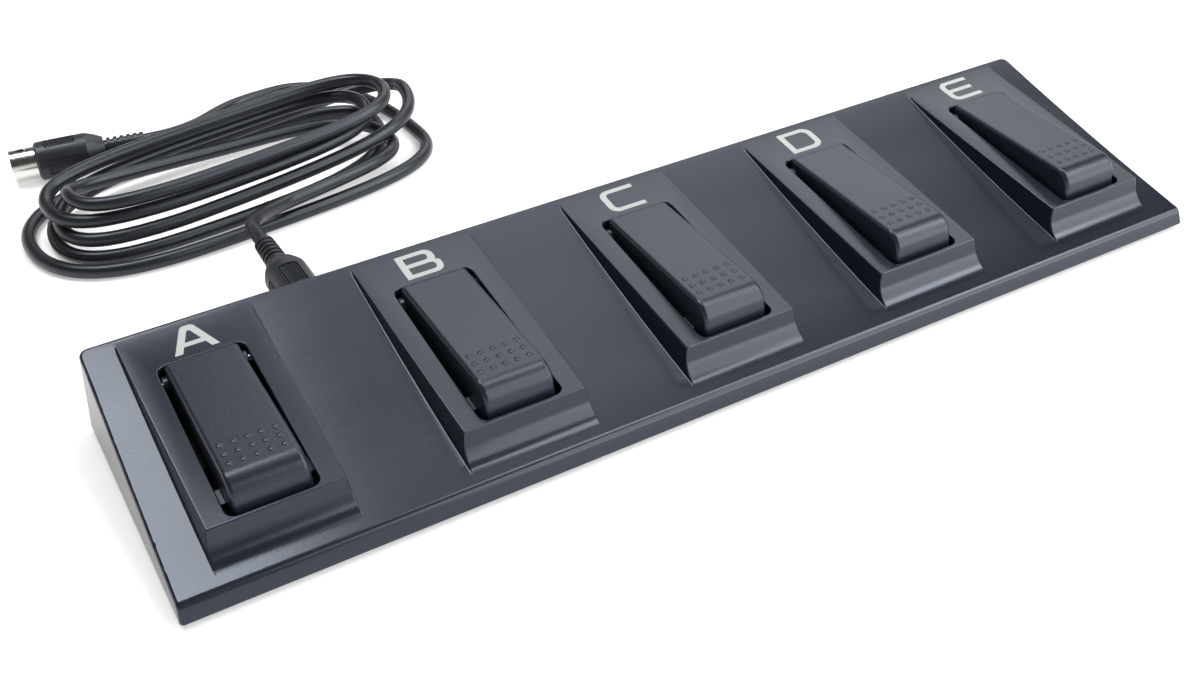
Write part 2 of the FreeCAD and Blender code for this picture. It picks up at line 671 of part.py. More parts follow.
def return_spring(x):
    """A compression spring out of sight under the pedal, as the plain sleeve that it fills."""
    outer = upright(SPRING_RADIUS + SPRING_WIRE_RADIUS, x, SPRING_Y, BASE_TOP, SPRING_TOP)
    return outer.cut(upright(SPRING_RADIUS - SPRING_WIRE_RADIUS, x, SPRING_Y, BASE_TOP - 1, SPRING_TOP + 1))


# Curved paths: pairs of tangent arcs through points with given directions
def biarc(p0, t0, p1, t1):
    """Two arcs that leave p0 along t0, meet smoothly and arrive at p1 along t1."""
    across = p1 - p0
    a = 2 * (t0.dot(t1) - 1)
    b = -2 * across.dot(t0 + t1)
    c = across.dot(across)
    reach = -c / b if abs(a) < 1e-9 else (-b - math.sqrt(b * b - 4 * a * c)) / (2 * a)
    joint = (p0 + t0 * reach + p1 - t1 * reach) / 2
    way = ((p1 - t1 * reach) - (p0 + t0 * reach)).normalize()
    return [(p0, t0, joint), (joint, way, p1)]


def arc_parts(start, way, end):
    """Centre, unit radius direction, radius and angle of the arc from start along way to end."""
    chord = end - start
    off = chord - way * chord.dot(way)
    height = off.Length
    if height < 1e-6:
        return None
    normal = off / height
    radius = chord.dot(chord) / (2 * height)
    angle = 2 * math.atan2(height, chord.dot(way))
    return start + normal * radius, normal, radius, angle


def arc_point(start, way, end, share):
    found = arc_parts(start, way, end)
    if found is None:
        return start + (end - start) * share
    centre, normal, radius, angle = found
    return centre - normal * radius * math.cos(angle * share) + way * radius * math.sin(angle * share)


def curved_pieces(stations):
    pieces = []
    for (p0, t0), (p1, t1) in zip(stations, stations[1:]):
        pieces += biarc(p0, t0, p1, t1)
    return pieces


def curved_path(stations, lead_in=0.0, lead_out=0.0):
    """One wire of tangent arcs through the stations, with straight ends."""
    edges = []
    if lead_in:
        edges.append(Part.makeLine(stations[0][0] - stations[0][1] * lead_in, stations[0][0]))
    for start, way, end in curved_pieces(stations):
        if arc_parts(start, way, end) is None:
            edges.append(Part.makeLine(start, end))
        else:
            edges.append(Part.Arc(start, arc_point(start, way, end, 0.5), end).toShape())
    if lead_out:
        edges.append(Part.makeLine(stations[-1][0], stations[-1][0] + stations[-1][1] * lead_out))
    return Part.Wire(edges)


def swept(path, radius):
    """A faceted tube of the given radius along a path of tangent pieces."""
    first = path.Edges[0]
    start = first.valueAt(first.FirstParameter)
    way = first.tangentAt(first.FirstParameter)
    if (path.Vertexes[0].Point - start).Length > 0.001:
        start, way = first.valueAt(first.LastParameter), -first.tangentAt(first.LastParameter)
    side = way.cross(V(0, 0, 1)).normalize()
    up = side.cross(way)
    corners = []
    for i in range(CORD_SIDES + 1):
        a = 2 * math.pi * (i + 0.5) / CORD_SIDES
        corners.append(start + side * radius * math.cos(a) + up * radius * math.sin(a))
    shell = Part.BRepOffsetAPI.MakePipeShell(path)
    shell.add(Part.makePolygon(corners))
    shell.build()
    shell.makeSolid()
    return shell.shape()


# The cord: lead, coil and tail
def coil_place(x, y, layer):
    return V(x, y, CORD_DIAMETER / 2 + layer * (CORD_DIAMETER + COIL_LAYER_GAP))


def coil_stations():
    """Every quarter turn of the coil: where it is and which way the cord runs there."""
    stations = [(coil_place(*COIL_START), heading(COIL_START_HEADING))]
    for loop in COIL_LOOPS:
        stations += [(coil_place(*place), heading(angle)) for place, angle in zip(loop, COIL_HEADINGS)]
    stations.append((coil_place(*COIL_END), heading(COIL_HEADINGS[1])))
    return stations


def measured_points(stations, per_arc=8):
    points = []
    for start, way, end in curved_pieces(stations):
        points += [arc_point(start, way, end, i / per_arc) for i in range(per_arc)]
    return points + [stations[-1][0]]


def least_gap(points, diameter):
    """The least clear distance between two stretches that are over four diameters apart along the cord."""
    runs = [0.0]
    for a, b in zip(points, points[1:]):
        runs.append(runs[-1] + (b - a).Length)
    least = 1e9
    for i, a in enumerate(points):
        for j in range(i + 1, len(points)):
            if runs[j] - runs[i] > 4 * diameter:
                least = min(least, segment_distance(points, i, j))
    return least - diameter, runs[-1]


def segment_distance(points, i, j):
    """Distance from point i to the chord that starts at point j."""
    if j + 1 >= len(points):
        return (points[i] - points[j]).Length
    chord = points[j + 1] - points[j]
    share = min(max((points[i] - points[j]).dot(chord) / chord.dot(chord), 0.0), 1.0)
    return (points[j] + chord * share - points[i]).Length


def cord_coil():
    stations = coil_stations()
    gap, length = least_gap(measured_points(stations), CORD_DIAMETER)
    radii = [arc_parts(*piece)[2] for piece in curved_pieces(stations) if arc_parts(*piece)]
    print("coil: length %.0f mm, least radius %.1f mm, least gap to itself %.2f mm" % (
        length + 2 * CORD_DIAMETER, min(radii), gap))
    path = curved_path(stations, CORD_DIAMETER, CORD_DIAMETER)
    return swept(path, CORD_DIAMETER / 2)


def bent_run(points, diameter, name):
    """A tube through points: straight runs joined by arcs as large as the runs allow."""
    radius = diameter / 2
    edges = []
    last = points[0]
    radii = []
    for a, b, c in zip(points, points[1:], points[2:]):
        come, leave = (b - a).normalize(), (c - b).normalize()
        turn = come.getAngle(leave)
        back = ARC_SHARE * min((b - a).Length, (c - b).Length)
        radii.append(back / math.tan(turn / 2))
        start, end = b - come * back, b + leave * back
        edges.append(Part.LineSegment(last, start).toShape())
        edges.append(Part.Arc(start, arc_point(start, come, end, 0.5), end).toShape())
        last = end
    edges.append(Part.LineSegment(last, points[-1]).toShape())
    path = Part.Wire(edges)
    tube = swept(path, radius)
    section = CORD_SIDES * radius ** 2 * math.sin(2 * math.pi / CORD_SIDES) / 2
    print("%s: length %.0f mm, radii %s mm, volume over section times length %.4f" % (
        name, path.Length, ", ".join("%.0f" % r for r in radii), tube.Volume / (section * path.Length)))
    return tube


def cord_lead():
    stations = coil_stations()
    start, way = stations[0]
    meet = start - way * CORD_DIAMETER
    outlet, out = near_outlet()
    points = [outlet, outlet + out * LEAD_OUT] + [V(*p) for p in LEAD_POINTS] + [meet - way * LEAD_IN, meet]
    return bent_run(points, CORD_DIAMETER, "lead")


def cord_tail():
    stations = coil_stations()
    end, way = stations[-1]
    leave = end + way * CORD_DIAMETER
    outlet, out = far_outlet()
    points = [leave, leave + way * TAIL_OUT] + [V(*p) for p in TAIL_POINTS] + [outlet + out * TAIL_IN, outlet]
    return bent_run(points, CORD_DIAMETER, "tail")


# The plugs, made along +Y with the boot's front face at the origin and the shell ahead of it
def plug_shell():
    length = SHELL_SEAT + SHELL_LENGTH
    outer = Part.makeCylinder(SHELL_RADIUS, SHELL_LENGTH - SHELL_NECK, V(0, SHELL_NECK, 0), V(0, 1, 0))
    seat = Part.makeCylinder(SHELL_RADIUS - SHELL_STEP, SHELL_SEAT + SHELL_NECK, V(0, -SHELL_SEAT, 0), V(0, 1, 0))
    outer = outer.fuse(seat)
    inner = Part.makeCylinder(SHELL_RADIUS - SHELL_WALL, length, V(0, -SHELL_SEAT, 0), V(0, 1, 0))
    half_length, half_width_ = SHELL_WINDOW_LENGTH / 2, SHELL_WINDOW_WIDTH / 2
    slot = box(-half_width_, half_width_, SHELL_LENGTH / 2 - half_length + half_width_,
               SHELL_LENGTH / 2 + half_length - half_width_, 0, SHELL_RADIUS + 1)
    ends = [upright(half_width_, 0, SHELL_LENGTH / 2 + side * (half_length - half_width_), 0, SHELL_RADIUS + 1)
            for side in (-1, 1)]
    return outer.cut([inner, slot] + ends)


def pin_places():
    middle = (PIN_COUNT - 1) / 2
    angles = [math.radians(90 + (i - middle) * PIN_STEP) for i in range(PIN_COUNT)]
    return [(PIN_CIRCLE_RADIUS * math.cos(a), PIN_CIRCLE_RADIUS * math.sin(a)) for a in angles]


def plug_insert():
    radius = SHELL_RADIUS - SHELL_WALL - INSERT_CLEARANCE
    return Part.makeCylinder(radius, SHELL_SEAT + INSERT_PROUD, V(0, -SHELL_SEAT, 0), V(0, 1, 0))


def plug_pins():
    return [Part.makeCylinder(PIN_RADIUS, PIN_LENGTH - INSERT_PROUD, V(x, INSERT_PROUD, z), V(0, 1, 0))
            for x, z in pin_places()]


def plug_boot():
    """The moulded grip with its ribbed strain relief behind it, turned about the plug's axis."""
    r, edge = BOOT_RADIUS, BOOT_EDGE
    seat = SHELL_RADIUS - SHELL_STEP + INSERT_CLEARANCE
    neck_y = -(BOOT_LENGTH + BOOT_TAPER_LENGTH)
    end_y = neck_y - RELIEF_LENGTH
    pitch = RELIEF_LENGTH / RELIEF_RIB_COUNT
    sag = (r - BOOT_NECK_RADIUS) * 0.1
    middle = V((r + BOOT_NECK_RADIUS) / 2 + sag, -BOOT_LENGTH - BOOT_TAPER_LENGTH / 2, 0)
    core = RELIEF_CORE_RADIUS
    outline = [V(0, -SHELL_SEAT, 0), V(seat, -SHELL_SEAT, 0), V(seat, 0, 0), V(r - edge, 0, 0), V(r, -edge, 0)]
    outline += [V(r, -BOOT_LENGTH, 0), middle, V(BOOT_NECK_RADIUS, neck_y, 0), V(core, neck_y, 0)]
    for i in range(RELIEF_RIB_COUNT):
        share = (i + 1) / RELIEF_RIB_COUNT
        rib = RELIEF_RIB_RADIUS + (RELIEF_END_RADIUS - RELIEF_RIB_RADIUS) * share
        y1 = neck_y - (i + 1) * pitch
        y0 = y1 + RELIEF_RIB_THICKNESS
        outline += [V(core, y0, 0), V(rib, y0, 0), V(rib, y1, 0), V(core, y1, 0)]
    outline = outline[:-1] + [V(0, end_y, 0), V(0, -SHELL_SEAT, 0)]
    boot = Part.Face(Part.makePolygon(outline)).revolve(V(0, 0, 0), V(0, 1, 0), 360)
    return boot.cut([grip_pad(angle) for angle in (0.0, 90.0, 180.0, 270.0)])


def ring_piece(inner, y0, y1, start, sweep):
    """A sector of a ring outside radius inner, between two angles about the plug's axis."""
    outer = BOOT_RADIUS + 1
    wire = Part.makePolygon([V(inner, y0, 0), V(outer, y0, 0), V(outer, y1, 0), V(inner, y1, 0), V(inner, y0, 0)])
    sector = Part.Face(wire).revolve(V(0, 0, 0), V(0, 1, 0), sweep)
    return sector.rotate(V(0, 0, 0), V(0, 1, 0), start)


def grip_pad(angle):
    """A shallow recess for the fingers, centred at an angle from the top."""
    margin = (BOOT_LENGTH - PAD_LENGTH) / 2
    return ring_piece(BOOT_RADIUS - PAD_DEPTH, -margin - PAD_LENGTH, -margin, angle - 90 - PAD_ANGLE / 2, PAD_ANGLE)


def placed(shapes, x, y, z, direction):
    """Put plug pieces made along +Y at a place, turned in plan to a compass angle."""
    moved = [s.copy() for s in shapes]
    for s in moved:
        s.rotate(V(0, 0, 0), V(0, 0, 1), direction - 90)
        s.translate(V(x, y, z))
    return moved


NEAR_PLUG_Y = HALF_DEPTH + NEAR_PLUG_GAP
FAR_PLUG_Z = BOOT_RADIUS + FAR_PLUG_LIFT
PLUG_LENGTH = BOOT_LENGTH + BOOT_TAPER_LENGTH + RELIEF_LENGTH


def near_plug(shapes):
    return placed(shapes, SOCKET_X, NEAR_PLUG_Y, SOCKET_HEIGHT, -90.0)


def far_plug(shapes):
    return placed(shapes, FAR_PLUG_X, FAR_PLUG_Y, FAR_PLUG_Z, FAR_PLUG_HEADING)


def near_outlet():
    return V(SOCKET_X, NEAR_PLUG_Y + PLUG_LENGTH, SOCKET_HEIGHT), V(0, 1, 0)


def far_outlet():
    back = heading(FAR_PLUG_HEADING) * -1
    return V(FAR_PLUG_X, FAR_PLUG_Y, FAR_PLUG_Z) + back * PLUG_LENGTH, back


def din_socket():
    """The socket: a round face in the rear wall and a square body that stands on the board."""
    face_y = HALF_DEPTH - SOCKET_WALL_GAP
    back_y = HALF_DEPTH - SOCKET_BODY_DEPTH
    inside_y = HALF_DEPTH - WALL - REAR_SETBACK - SOCKET_WALL_GAP
    ring_y = inside_y - WALL
    ring = Part.makeCylinder(SOCKET_RING_RADIUS, face_y - ring_y, V(SOCKET_X, ring_y, SOCKET_HEIGHT), V(0, 1, 0))
    half = SOCKET_BODY_WIDTH / 2
    body = box(SOCKET_X - half, SOCKET_X + half, back_y, inside_y, BOARD_TOP, SOCKET_HEIGHT + SOCKET_BODY_TOP)
    insert_face = NEAR_PLUG_Y - INSERT_PROUD
    core_face = insert_face - SOCKET_CORE_GAP
    slot_end = NEAR_PLUG_Y - SHELL_LENGTH - SOCKET_CORE_GAP

    def bored(radius, y0, y1, x=0.0, z=0.0):
        return Part.makeCylinder(radius, y1 - y0, V(SOCKET_X + x, y0, SOCKET_HEIGHT + z), V(0, 1, 0))

    slot = bored(SHELL_RADIUS + SOCKET_SLOT_CLEARANCE, slot_end, face_y + 1)
    core = bored(SHELL_RADIUS - SHELL_WALL - SOCKET_SLOT_CLEARANCE, slot_end - 1, core_face)
    pin_end = NEAR_PLUG_Y - PIN_LENGTH - SOCKET_CORE_GAP
    holes = [bored(PIN_RADIUS + PIN_HOLE_CLEARANCE, pin_end, face_y, -x, z) for x, z in pin_places()]
    return ring.fuse(body).cut(slot).fuse(core).cut(holes).removeSplitter()


def main():
    os.makedirs("parts", exist_ok=True)

    def save(name, shapes):
        if isinstance(shapes, list):
            shapes = shapes[0] if len(shapes) == 1 else Part.makeCompound(shapes)
        shapes.exportStep("parts/%s.step" % name)

    save("top_housing", top_housing())
    save("base_plate", base_plate())
    save("rubber_feet", rubber_feet())
    save("base_screws", [screw(SCREW_RADIUS, SCREW_HEAD_RADIUS, SCREW_HEAD_HEIGHT, SCREW_LENGTH, x, y, SCREW_SEAT, False)
                         for x, y in base_screw_places()])
    save("circuit_board", circuit_board())
    save("board_screws", [screw(BOARD_SCREW_RADIUS, BOARD_SCREW_HEAD_RADIUS, BOARD_SCREW_HEAD_HEIGHT,
                                BOARD_SCREW_LENGTH, x, y, BOARD_TOP, True) for x, y in board_post_places()])
    save("pivot_shafts", pivot_shafts())
    save("switch_bodies", [switch_body(x) for x in PEDAL_XS])
    save("stop_pads", [stop_pad(x) for x in PEDAL_XS])
    for number, x in enumerate(PEDAL_XS, 1):
        save("pedal_%d" % number, pedal(x))
        save("switch_plunger_%d" % number, switch_plunger(x))
        save("return_spring_%d" % number, return_spring(x))
    save("din_socket", din_socket())
    for name, place in (("near", near_plug), ("far", far_plug)):
        save(name + "_plug_shell", place([plug_shell()]))
        save(name + "_plug_insert", place([plug_insert()]))
        save(name + "_plug_pins", place(plug_pins()))
        save(name + "_plug_boot", place([plug_boot()]))
    save("cord_lead", cord_lead())
    save("cord_coil", cord_coil())
    save("cord_tail", cord_tail())


if __name__ == "__main__":
    main()
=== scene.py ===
import math

import bmesh
import bpy
from mathutils import Matrix, Quaternion, Vector


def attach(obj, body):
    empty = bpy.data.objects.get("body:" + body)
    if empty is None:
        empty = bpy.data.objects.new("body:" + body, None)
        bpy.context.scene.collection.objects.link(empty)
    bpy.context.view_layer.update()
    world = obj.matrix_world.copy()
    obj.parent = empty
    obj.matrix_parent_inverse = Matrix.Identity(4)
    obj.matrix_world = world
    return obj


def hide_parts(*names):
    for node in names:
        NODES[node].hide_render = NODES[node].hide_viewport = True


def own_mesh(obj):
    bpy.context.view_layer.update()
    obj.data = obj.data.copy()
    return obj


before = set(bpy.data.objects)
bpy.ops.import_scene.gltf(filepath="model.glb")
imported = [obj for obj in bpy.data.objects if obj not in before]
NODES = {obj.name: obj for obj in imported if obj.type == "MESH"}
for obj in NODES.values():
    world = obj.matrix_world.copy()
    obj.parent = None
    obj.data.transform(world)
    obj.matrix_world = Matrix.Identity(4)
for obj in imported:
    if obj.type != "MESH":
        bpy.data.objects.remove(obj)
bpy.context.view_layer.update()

bl_info = {
    "name": "Foot controller finish",
    "version": (1, 0, 0),
    "blender": (4, 5, 0),
    "location": "View3D > Sidebar > Foot controller",
    "description": "Plastics, pedal dots, letters, plugs and cord for the packed foot controller",
    "category": "Object",
}

MM = 0.001

# The five pedals, from left to right
PEDAL_COUNT = 5
PEDAL_PITCH = 0.080
PEDAL_XS = [PEDAL_PITCH * (i - (PEDAL_COUNT - 1) / 2) for i in range(PEDAL_COUNT)]

# The platform's top plane, and the pedal's top plane, as a point and a rise per metre to the rear
PLATFORM_PLANE = (-0.0371, 0.0199, 0.12733)
PEDAL_PLANE = (0.0296, 0.030493, math.tan(math.radians(1.0)))

# Plugs: place, height and heading in plan of each boot's front face
NEAR_PLUG = (Vector((-0.1176, 0.0521, 0.0190)), -90.0)
FAR_PLUG = (Vector((-0.1737, 0.2246, 0.00805)), 172.5)
PLUG_LENGTH = 0.0441
PLUG_BODY = 0.0206
PAD_MARGIN = 0.0006

# Base screws and return springs: places in plan, heights and sizes
BASE_SCREW_SEAT = 0.0035
BASE_SCREWS = [(x, -0.030) for x in (-0.120, -0.040, 0.040, 0.120)] + [(-0.160, 0.041), (0.160, 0.041)]
SHANK_RADIUS = 0.00145
SHANK_LENGTH = 0.006
RECESS_SPAN = 0.0030
RECESS_WIDTH = 0.0007
SPRING_Y = -0.022
SPRING_FOOT = 0.0043
SPRING_RADIUS = 0.0042

# Softened copies: distance of points to merge, turn of a flat edge in degrees, least width to keep a crease
MERGE = 0.00002
FLAT = 0.5
BROAD = 0.002

# Cord: its route in millimetres, as the solids of the lead, coil and tail follow it
CORD_RADIUS = 2.75
LAYER = 6.0
LEAD_POINTS = [(-117.3, 111.5, 17.9), (-115.2, 118.6, 15.9), (-110.4, 125.2, 13.5), (-104.0, 130.6, 11.4)]
TAIL_POINTS = [(-88.4, 238.0, 3.2), (-96.0, 232.4, 4.4), (-102.6, 225.9, 5.9), (-111.0, 220.6, 7.2)]
COIL_HEADINGS = (90.0, 184.0, 270.0, 4.0)
COIL_START = (-85.0, 138.5, 1.1)
COIL_START_HEADING = 12.0
COIL_END = (-66.0, 242.0, 0.0)
QUARTER_STEPS = 6
# Straight stretches before and after the coil, out of the near plug and into the far one
COIL_ENTRY = 11.0
COIL_EXIT = 14.0
NEAR_STRAIGHT = 8.5
FAR_STRAIGHT = 9.0
# Right, back, left and front of each loop, with its height counted in layers of the pile
COIL_LOOPS = [
    ((-41, 163, 0.97), (-98, 188, 1.33), (-171, 167, 3.05), (-127, 150.8, 3.07)),
    ((-38, 175, 4.10), (-88, 196, 3.17), (-179, 172, 2.05), (-128.5, 150.3, 2.06)),
    ((-46, 178, 2.95), (-89, 198, 2.05), (-177, 165, 1.02), (-132, 146.5, 1.02)),
    ((-25, 184, 2.80), (-91, 203.5, 1.02), (-180, 166, 0.00), (-134, 143, 0.00)),
    ((-37, 192, 0.00), (-92, 211, 0.00), (-189.5, 168, 0.00), (-133, 132, 0.00)),
    ((-24.5, 170, 0.00),),
]

# Camera: place, then turn, rise and roll in degrees, lens and sensor in millimetres, shift of the picture
CAMERA_PLACE = (-0.22072, -0.3379, 0.29696)
CAMERA_ANGLES = (-28.97, 37.16, -1.62)
LENS = 42.114
SENSOR = 36.0
SHIFT = (0.002, 0.00233)

# Stage: half the floor's width, where its own light starts and stops rising, heights of the sky's tones
FLOOR_HALF = 12.0
GLOW_NEAR = 0.9
GLOW_FAR = 3.0
SKY_TONES = (0.12, 0.45)

# Soft lights: name, setting with the power, size, place, point aimed at and spin in degrees
LIGHTS = (
    ("Back Softbox", "back", (2.0, 1.3), (1.12, 1.24, 1.2), (1.12, 1.24, 0.0), 10.0),
    ("Left Softbox", "left", (0.7, 0.45), (-0.31, 0.47, 1.2), (-0.31, 0.47, 0.0), -10.0),
    ("Front Softbox", "front", (1.4, 1.4), (0.80, -0.95, 0.65), (0.1, 0.0, 0.0), 0.0),
    ("Top Softbox", "top", (1.5, 0.36), (0.81, -0.33, 1.2), (0.81, -0.33, 0.0), -38.0),
)


# Helpers
def settings(name):
    return getattr(bpy.context.scene, "foot_controller_" + name)


def link(obj):
    bpy.context.scene.collection.objects.link(obj)
    return obj


def new_object(name, mesh):
    return link(bpy.data.objects.new(name, mesh))


def plane_z(plane, y):
    """Height of a sloped plane at a place from front to rear."""
    return plane[1] + (y - plane[0]) * plane[2]


def evaluated_mesh(host):
    bpy.context.view_layer.update()
    graph = bpy.context.evaluated_depsgraph_get()
    return bpy.data.meshes.new_from_object(host.evaluated_get(graph), depsgraph=graph)


def baked(host):
    """Turns a host's evaluated geometry into its own plain mesh and drops its modifiers."""
    mesh = evaluated_mesh(host)
    mesh.name = host.name
    for modifier in list(host.modifiers):
        host.modifiers.remove(modifier)
    host.data = mesh
    return host


def smooth(obj, degrees=30.0):
    mesh = obj.data
    mesh.shade_smooth()
    mesh.set_sharp_from_angle(angle=math.radians(degrees))
    return obj


def softened(node, name, material, width, sharpest=28.0):
    """A merged copy of a CAD node with its edges of more than sharpest degrees broken by a small radius."""
    shape = bmesh.new()
    shape.from_mesh(NODES[node].data)
    bmesh.ops.remove_doubles(shape, verts=shape.verts, dist=MERGE)
    bmesh.ops.dissolve_limit(shape, angle_limit=math.radians(FLAT), verts=shape.verts, edges=shape.edges)
    weight = shape.edges.layers.float.new("bevel_weight_edge")
    for face in shape.faces:
        face.smooth = True
    for edge in shape.edges:
        turn = math.degrees(edge.calc_face_angle(0.0))
        breadth = min(2 * face.calc_area() / face.calc_perimeter() for face in edge.link_faces)
        if turn > sharpest:
            edge[weight] = 1.0
        elif turn > FLAT and breadth > BROAD:
            edge.smooth = False
    mesh = bpy.data.meshes.new(name)
    shape.to_mesh(mesh)
    shape.free()
    mesh.materials.clear()
    mesh.materials.append(material)
    piece = new_object(name, mesh)
    bevel = piece.modifiers.new("Edge Radius", "BEVEL")
    bevel.width = width
    bevel.segments = 2
    bevel.limit_method = "WEIGHT"
    bevel.use_clamp_overlap = False
    even = piece.modifiers.new("Even Normals", "WEIGHTED_NORMAL")
    even.keep_sharp = True
    baked(piece)
    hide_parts(node)
    return piece


def paint(names, material):
    """Gives CAD nodes a finish through their own material slots."""
    for name in names:
        for place in NODES[name].material_slots:
            place.link = "OBJECT"
            place.material = material


# Materials
COOL_GLOSS = (0.80, 0.87, 1.0)

# What sets the pedals and the base plate off from the housing
PEDAL_ROUGHER = 0.09
PEDAL_COARSER = 1.6
PEDAL_SHARPEST = 40.0
BASE_SHADE = 0.55
BASE_ROUGHNESS = 0.55


class Finish:
    """A material's node tree, built up step by step."""

    def __init__(self, name, colour, roughness, metallic=0.0, tint=(1.0, 1.0, 1.0)):
        self.material = bpy.data.materials.new(name)
        self.material.use_nodes = True
        self.tree = self.material.node_tree
        self.shader = self.tree.nodes["Principled BSDF"]
        self.shader.inputs["Base Color"].default_value = (*colour, 1.0)
        self.shader.inputs["Roughness"].default_value = roughness
        self.shader.inputs["Metallic"].default_value = metallic
        self.shader.inputs["Specular Tint"].default_value = (*tint, 1.0)
        self.coords = self.tree.nodes.new("ShaderNodeTexCoord")
        self.normal = None

    def join(self, output, socket):
        self.tree.links.new(output, socket)

    def noise(self, size, detail=2.0, stretch=None, seed=0.0):
        """Noise with features of a size in metres, stretched along an axis if asked."""
        node = self.tree.nodes.new("ShaderNodeTexNoise")
        node.noise_dimensions = "4D"
        node.inputs["W"].default_value = seed
        node.inputs["Scale"].default_value = 1.0 / size
        node.inputs["Detail"].default_value = detail
        mapping = self.tree.nodes.new("ShaderNodeMapping")
        mapping.inputs["Scale"].default_value = stretch or (1.0, 1.0, 1.0)
        self.join(self.coords.outputs["Object"], mapping.inputs["Vector"])
        self.join(mapping.outputs["Vector"], node.inputs["Vector"])
        return node.outputs["Fac"]

    def cells(self, size):
        node = self.tree.nodes.new("ShaderNodeTexVoronoi")
        node.feature = "SMOOTH_F1"
        node.inputs["Scale"].default_value = 1.0 / size
        self.join(self.coords.outputs["Object"], node.inputs["Vector"])
        return node.outputs["Distance"]

    def vary_colour(self, factor, dark, light):
        ramp = self.tree.nodes.new("ShaderNodeMix")
        ramp.data_type = "RGBA"
        colour = self.shader.inputs["Base Color"].default_value
        ramp.inputs["A"].default_value = [c * dark for c in colour[:3]] + [1.0]
        ramp.inputs["B"].default_value = [c * light for c in colour[:3]] + [1.0]
        self.join(factor, ramp.inputs["Factor"])
        self.join(ramp.outputs["Result"], self.shader.inputs["Base Color"])

    def vary_roughness(self, factor, low, high):
        scale = self.tree.nodes.new("ShaderNodeMapRange")
        scale.inputs["From Min"].default_value = 0.3
        scale.inputs["From Max"].default_value = 0.7
        scale.inputs["To Min"].default_value = low
        scale.inputs["To Max"].default_value = high
        self.join(factor, scale.inputs["Value"])
        self.join(scale.outputs["Result"], self.shader.inputs["Roughness"])

    def bump(self, height, depth, strength=1.0):
        node = self.tree.nodes.new("ShaderNodeBump")
        node.inputs["Strength"].default_value = strength
        node.inputs["Distance"].default_value = depth
        self.join(height, node.inputs["Height"])
        if self.normal:
            self.join(self.normal, node.inputs["Normal"])
        self.normal = node.outputs["Normal"]
        self.join(self.normal, self.shader.inputs["Normal"])


def moulded_plastic(name, colour, roughness, grain, depth):
    """Satin moulded plastic with the fine grain of a spark-eroded mould."""
    finish = Finish(name, colour, roughness, tint=COOL_GLOSS)
    finish.vary_colour(finish.noise(0.020, 3.0), 0.95, 1.05)
    finish.vary_roughness(finish.noise(0.035, 3.0, seed=4.0), roughness - 0.012, roughness + 0.012)
    finish.bump(finish.noise(grain, 2.0, seed=9.0), depth)
    finish.bump(finish.cells(grain * 2.2), depth * 0.7)
    return finish.material


def brushed_metal(name, colour, roughness, along):
    """Metal with a faint uneven sheen, finer along the axes with the larger numbers."""
    finish = Finish(name, colour, roughness, 1.0)
    finish.vary_roughness(finish.noise(0.0006, 3.0, along), roughness - 0.03, roughness + 0.04)
    finish.bump(finish.noise(0.0003, 2.0, along, 3.0), 0.000002, 0.3)
    return finish.material


def soft_rubber(name, colour, roughness, grain, depth):
    """Rubber or soft plastic, slightly uneven in tone and sheen."""
    finish = Finish(name, colour, roughness, tint=COOL_GLOSS)
    finish.vary_colour(finish.noise(0.012, 3.0), 0.85, 1.15)
    finish.vary_roughness(finish.noise(0.006, 3.0, seed=2.0), roughness - 0.05, roughness + 0.06)
    finish.bump(finish.noise(grain, 3.0, seed=5.0), depth)
    return finish.material


# Geometry node trees
class Builder:
    """A geometry node tree with named inputs, built node by node."""

    def __init__(self, name, inputs):
        self.tree = bpy.data.node_groups.new(name, "GeometryNodeTree")
        self.identifiers = {}
        for label, kind in inputs:
            socket = self.tree.interface.new_socket(label, in_out="INPUT", socket_type="NodeSocket" + kind)
            self.identifiers[label] = socket.identifier
        self.tree.interface.new_socket("Geometry", in_out="OUTPUT", socket_type="NodeSocketGeometry")
        self.given = self.tree.nodes.new("NodeGroupInput").outputs

    def node(self, kind, wires=None, **options):
        node = self.tree.nodes.new(kind)
        for key, value in options.items():
            setattr(node, key, value)
        for key, source in (wires or {}).items():
            if isinstance(source, bpy.types.NodeSocket):
                self.tree.links.new(source, node.inputs[key])
            else:
                node.inputs[key].default_value = source
        return node

    def maths(self, operation, *values):
        node = self.tree.nodes.new("ShaderNodeMath")
        node.operation = operation
        for number, value in enumerate(values):
            if isinstance(value, bpy.types.NodeSocket):
                self.tree.links.new(value, node.inputs[number])
            else:
                node.inputs[number].default_value = value
        return node.outputs[0]

    def finish(self, geometry, material):
        real = self.node("GeometryNodeRealizeInstances", {"Geometry": geometry})
        painted = self.node("GeometryNodeSetMaterial", {"Geometry": real.outputs[0], "Material": material})
        out = self.tree.nodes.new("NodeGroupOutput")
        self.tree.links.new(painted.outputs[0], out.inputs[0])

    def piece(self, name, values, points=()):
        """Runs the tree once with these input values and returns the plain mesh object."""
        mesh = bpy.data.meshes.new(name)
        mesh.from_pydata(list(points), [], [])
        host = new_object(name, mesh)
        modifier = host.modifiers.new(self.tree.name, "NODES")
        modifier.node_group = self.tree
        for label, value in values.items():
            modifier[self.identifiers[label]] = value
        return baked(host)


